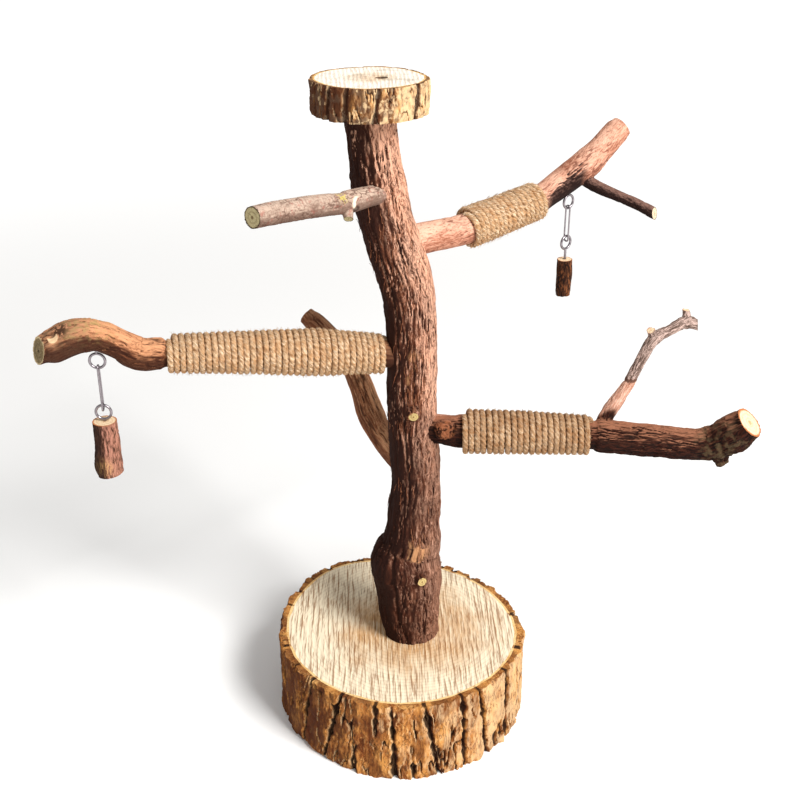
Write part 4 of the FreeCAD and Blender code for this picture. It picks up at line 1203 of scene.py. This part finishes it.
def profile():
    """The rope's outline: three strands side by side."""
    bpy.ops.curve.primitive_bezier_circle_add(radius=MM)
    shape = bpy.context.object
    shape.data.splines.clear()
    turn = TURN * np.arange(RIM) / RIM
    radius = (1 - LOBE + LOBE * np.sqrt(np.abs(np.cos(1.5 * turn)))) * MM
    outline = np.c_[radius * np.cos(turn), radius * np.sin(turn), np.zeros(RIM)]
    thread(shape, outline, np.ones(RIM)).use_cyclic_u = True
    return shape


def rope_path(stops, turns, seed):
    """The way of a rope over stops of x, y, z and outer width, and the line that it winds about."""
    points = [Vector(stop[:3]) for stop in stops]
    axis = (points[-1] - points[0]).normalized()
    up = (Vector((0, 0, 1)) - axis * axis.z).normalized()
    side = axis.cross(up)
    marks = [(point - points[0]).dot(axis) for point in points]
    last = turns * STEPS
    path = np.zeros((last + 1, 3))
    for step in range(last + 1):
        turn = step / STEPS
        drift = noise.noise(Vector((turn * 0.9, seed, 0.5)))
        along = ROPE / 2 + (marks[-1] - ROPE) * turn / turns + 0.35 * drift
        width = np.interp(along, marks, [stop[3] for stop in stops])
        centre = Vector([np.interp(along, marks, [p[k] for p in points]) for k in range(3)])
        radius = width / 2 - ROPE / 2 + 0.22 * noise.noise(Vector((turn * 1.7, seed, 4.5)))
        radius -= 2.6 * max(0, 1 - step / TUCK, 1 - (last - step) / TUCK)
        angle = TURN * turn
        path[step] = centre + up * (radius * math.cos(angle)) + side * (radius * math.sin(angle))
    return path, points[0], axis


def loose_fibres(path, start, axis, count, seed):
    """Short hairs that leave the rope and lean along it."""
    random = np.random.default_rng(seed)
    hairs = empty_curve()
    for number in range(count):
        step = int(random.uniform(20, len(path) - 20))
        middle = Vector(path[step])
        ahead = Vector(path[step + 1] - path[step - 1]).normalized()
        out = (middle - start - axis * (middle - start).dot(axis)).normalized()
        out = (out + axis * random.normal(0, 0.55)).normalized()
        long = random.uniform(1.2, 4.5)
        bend = random.normal(0, 0.5)
        hair = [middle + out * (ROPE * 0.44 + long * 0.35 * t ** 0.7) + ahead * (long * t)
                + axis * (bend * t * t) for t in (0, 1 / 3, 2 / 3, 1)]
        thread(hairs, np.array(hair) * MM, (1, 0.78, 0.56, 0.34))
    hairs = as_mesh(hairs, 0.22)
    places = vertices_of(hairs)
    store(hairs, "grain", places)
    store(hairs, "furrow", np.zeros(len(places)))
    return hairs


def wind(name, stops, turns, seed):
    """Rope wound over stops of x, y, z and outer width in millimetres."""
    path, start, axis = rope_path(stops, turns, seed)
    lengths = np.r_[0, np.cumsum(np.linalg.norm(np.diff(path, axis=0), axis=1))]
    radius = ROPE / 2 * 1.04
    rope = empty_curve()
    spline = thread(rope, path * MM, np.full(len(path), radius))
    spline.points.foreach_set("tilt", -lengths / LAY * TURN)
    shape = profile()
    rope.data.bevel_mode = "OBJECT"
    rope.data.bevel_object = shape
    rope.data.use_fill_caps = True
    rope = as_mesh(rope)
    bpy.data.objects.remove(shape)
    places = vertices_of(rope) / MM
    order = np.arange(len(places))
    ring = np.minimum(order // RIM, len(path) - 1)
    lobe = TURN * (order % RIM) / RIM
    depth = np.linalg.norm(places - path[ring], axis=1)
    store(rope, "grain", np.stack([np.cos(lobe) * 2, np.sin(lobe) * 2, lengths[ring]], 1) * MM)
    store(rope, "furrow", np.clip((radius - depth) / 0.6, 0, 1))
    fibres = loose_fibres(path, start, axis, turns * 44, seed)
    select_only(rope, fibres)
    bpy.ops.object.join()
    hand_over(rope, name + "_jute", name, (jute,))
    print("   %.2f m of rope" % (lengths[-1] * MM))


def woven_jute():
    """Pale fibres on tan, with painted shade between the strands and over the rope on the lower right
    perch.
    """
    finish = Finish("jute", 0.92)
    grain = finish.along()
    yarn = finish.cloud(finish.stretched(finish.warped(grain, 3, 0.5), (1, 1, 0.10)), 0.32, 5, 0.7)
    batch = finish.cloud(finish.place(), 6, 4)
    finish.colour = finish.mix(yarn.between(0.38, 0.54), (138, 92, 54), (202, 160, 116))
    finish.paint(yarn.between(0.51, 0.62) * 0.9, (250, 234, 206))
    finish.paint(batch.between(0.45, 0.68) * 0.4, (192, 134, 80))
    # painted shade over the rope on the lower right perch
    lower_rope_shade = finish.near((85, -8, 232), 62, 0.2) * (yarn * 0.6 + batch * 0.6).between(0.4, 0.75)
    finish.paint(lower_rope_shade * 0.45, (110, 72, 44))
    # painted shade between the strands
    finish.paint(finish.stored("furrow").between(0.1, 0.65) * 0.95, (78, 44, 24))
    finish.paint((1 - yarn.between(0.36, 0.45)) * 0.7, (88, 54, 30))
    finish.bump(yarn, 0.7)
    return finish.done()


jute = woven_jute()
wind("left_perch_rope", ((-8.2, -3.2, 287.8, 26.2), (-54.6, -12.5, 293.1, 31.7),
                         (-100, -21.6, 296.8, 28.2), (-148.8, -31.4, 300.3, 25.2)), 35, seed=1)
wind("lower_right_perch_rope", ((41, -7, 232.3, 31.0), (85, -8.3, 231.8, 29.9),
                                (130.4, -9.7, 230.6, 27.1)), 21, seed=2)
wind("upper_right_perch_rope", ((41.5, 25.4, 364, 28), (66.6, 45, 367.2, 26.9),
                                (95, 65, 372.5, 26.1)), 16, seed=3)

# %% [markdown]
# ## Wire work
#
# Screw eyes hold the wire links. An eye is a ring with a shank that carries a wood screw's thread.
# The ring starts as a torus, and the shank as a circle, drawn out row by row and swelled by turns.


# %% Bend the screw eyes and the links
EYE_WIRE = 1.8
LINK_WIRE = 1.2
LINK_BEND = 1.8  # inner and outer bend of the link at its middle line
IN_WOOD = 4
THREAD_ROW = 0.35
THREAD = (1.0, 1.22, 0.82)  # each row's width against the row before it, over and over
PERCH_NECK = 0.5


def steel(name, base, rough):
    """Zinc-plated wire, a little dulled in patches."""
    finish = Finish(name, rough, gloss=0.5)
    finish.shader.inputs["Metallic"].default_value = 1
    dull = finish.cloud(finish.place(), 2.4, 4)
    shade = [c * 0.72 for c in tone(*base)[:3]] + [1]
    finish.colour = finish.mix(dull.between(0.4, 0.7), base, shade)
    finish.feed(finish.shader.inputs["Roughness"], dull * 0.25 + rough - 0.1)
    finish.bump(dull, 0.03)
    return finish.done()


zinc = steel("zinc_wire", (150, 142, 146), 0.28)
screw_zinc = steel("zinc_screw", (186, 182, 176), 0.4)


def finish_wire(piece, name, body):
    """Put a piece of wire work on its body."""
    select_only(piece)
    bpy.ops.object.transform_apply(location=True, rotation=True, scale=True)
    hand_over(piece, name + "_bent_wire", name, (zinc,), body)


def screw_eye(name, body, middle, width, turn, way, neck):
    """A ring of wire with its threaded shank up, which is way 1, or down, which is way -1."""
    major = (width - EYE_WIRE) / 2
    bpy.ops.mesh.primitive_torus_add(
        major_radius=major * MM, minor_radius=EYE_WIRE / 2 * MM, major_segments=72, minor_segments=16,
        location=[c * MM for c in middle], rotation=(math.radians(90), 0, math.radians(turn)))
    ring = bpy.context.object
    bpy.ops.mesh.primitive_circle_add(
        vertices=20, radius=0.8 * MM, fill_type="NGON",
        location=[middle[0] * MM, middle[1] * MM, (middle[2] + way * major) * MM])
    shank = bpy.context.object
    length = EYE_WIRE / 2 + neck + IN_WOOD
    rows = round(length / THREAD_ROW)
    with editing("FACE"):
        bpy.ops.mesh.select_all(action="SELECT")
        for row in range(rows):
            swell = THREAD[row % 3] if row > 2 else 1.0
            bpy.ops.mesh.extrude_region_move(
                TRANSFORM_OT_translate={"value": (0, 0, way * length / rows * MM)})
            bpy.ops.transform.resize(value=(swell, swell, 1))
        bpy.ops.mesh.select_all(action="SELECT")
        bpy.ops.mesh.normals_make_consistent(inside=False)
    select_only(ring, shank)
    bpy.ops.object.join()
    finish_wire(ring, name, body)


def wire_link(name, body, top, length, turn):
    """A long loop of wire that hangs from its top pivot."""
    bend = np.linspace(0, math.pi, 17)
    across = np.r_[np.cos(bend), -np.cos(bend)] * LINK_BEND
    up = np.r_[np.sin(bend) * LINK_BEND, -length - np.sin(bend) * LINK_BEND]
    heading = math.radians(turn + 90)
    places = np.c_[top[0] + across * math.cos(heading), top[1] + across * math.sin(heading),
                   top[2] + up]
    loop = empty_curve()
    thread(loop, places * MM, np.ones(len(places))).use_cyclic_u = True
    finish_wire(as_mesh(loop, LINK_WIRE, 4), name, body)


for side, pivot, link, width, turn, toy_neck in (
        ("left", (-189.968, -39.558, 294.026), 28, 11.6, 0, 0.5),
        ("right", (116.266, 75.969, 362.993), 22, 11, 40, 6.8)):
    x, y, top = pivot
    major = (width - EYE_WIRE) / 2
    screw_eye(side + "_perch_screw_eye", "root", (x, y, top + major), width, turn, 1, PERCH_NECK)
    wire_link(side + "_link", side + "_link", pivot, link, turn)
    screw_eye(side + "_toy_screw_eye", side + "_toy", (x, y, top - link - major + EYE_WIRE), width,
              turn, -1, toy_neck)

# %% [markdown]
# ## The screws
#
# The wood screws are out of sight except in the platform's recess and from below, and their CAD
# shapes are right, so they only get their zinc.

# %% Give the CAD screws their zinc
for node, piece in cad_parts.items():
    if node.endswith(("screw", "screws")):
        piece.data.materials.clear()
        piece.data.materials.append(screw_zinc)

# %% [markdown]
# ## Floor and light
#
# A pale floor and plain soft light, a little stronger from the right and the front, show the
# colours about as they are written. Far from the stand the floor glows a little, so that it stays
# white where the lamp no longer reaches.

# %% Lay the floor and light the stand
bpy.ops.mesh.primitive_plane_add(size=40, location=(0, 0, 0))
floor = bpy.context.object
floor.name = "floor"
finish = Finish("pale_floor", 0.9)
finish.colour = (250, 249, 247)
away = 1 - finish.near((0, 0, 0), 1500, 0.6)
finish.feed(finish.shader.inputs["Emission Color"],
            finish.mix(away, (0, 0, 0), (196, 196, 196)))
finish.shader.inputs["Emission Strength"].default_value = 1
floor.data.materials.append(finish.done())

bpy.ops.object.light_add(type="AREA", location=(1.3, -1.3, 1.9))
key = bpy.context.object
key.data.size = 0.9
key.data.energy = 88
key.rotation_euler = (Vector((0, 0, 0.25)) - key.location).to_track_quat("-Z", "Y").to_euler()

world = bpy.data.worlds.new("studio")
bpy.context.scene.world = world
world.use_nodes = True
world.node_tree.nodes["Background"].inputs["Color"].default_value = (1, 1, 1, 1)
world.node_tree.nodes["Background"].inputs["Strength"].default_value = 0.5
bpy.context.scene.view_settings.view_transform = "Standard"
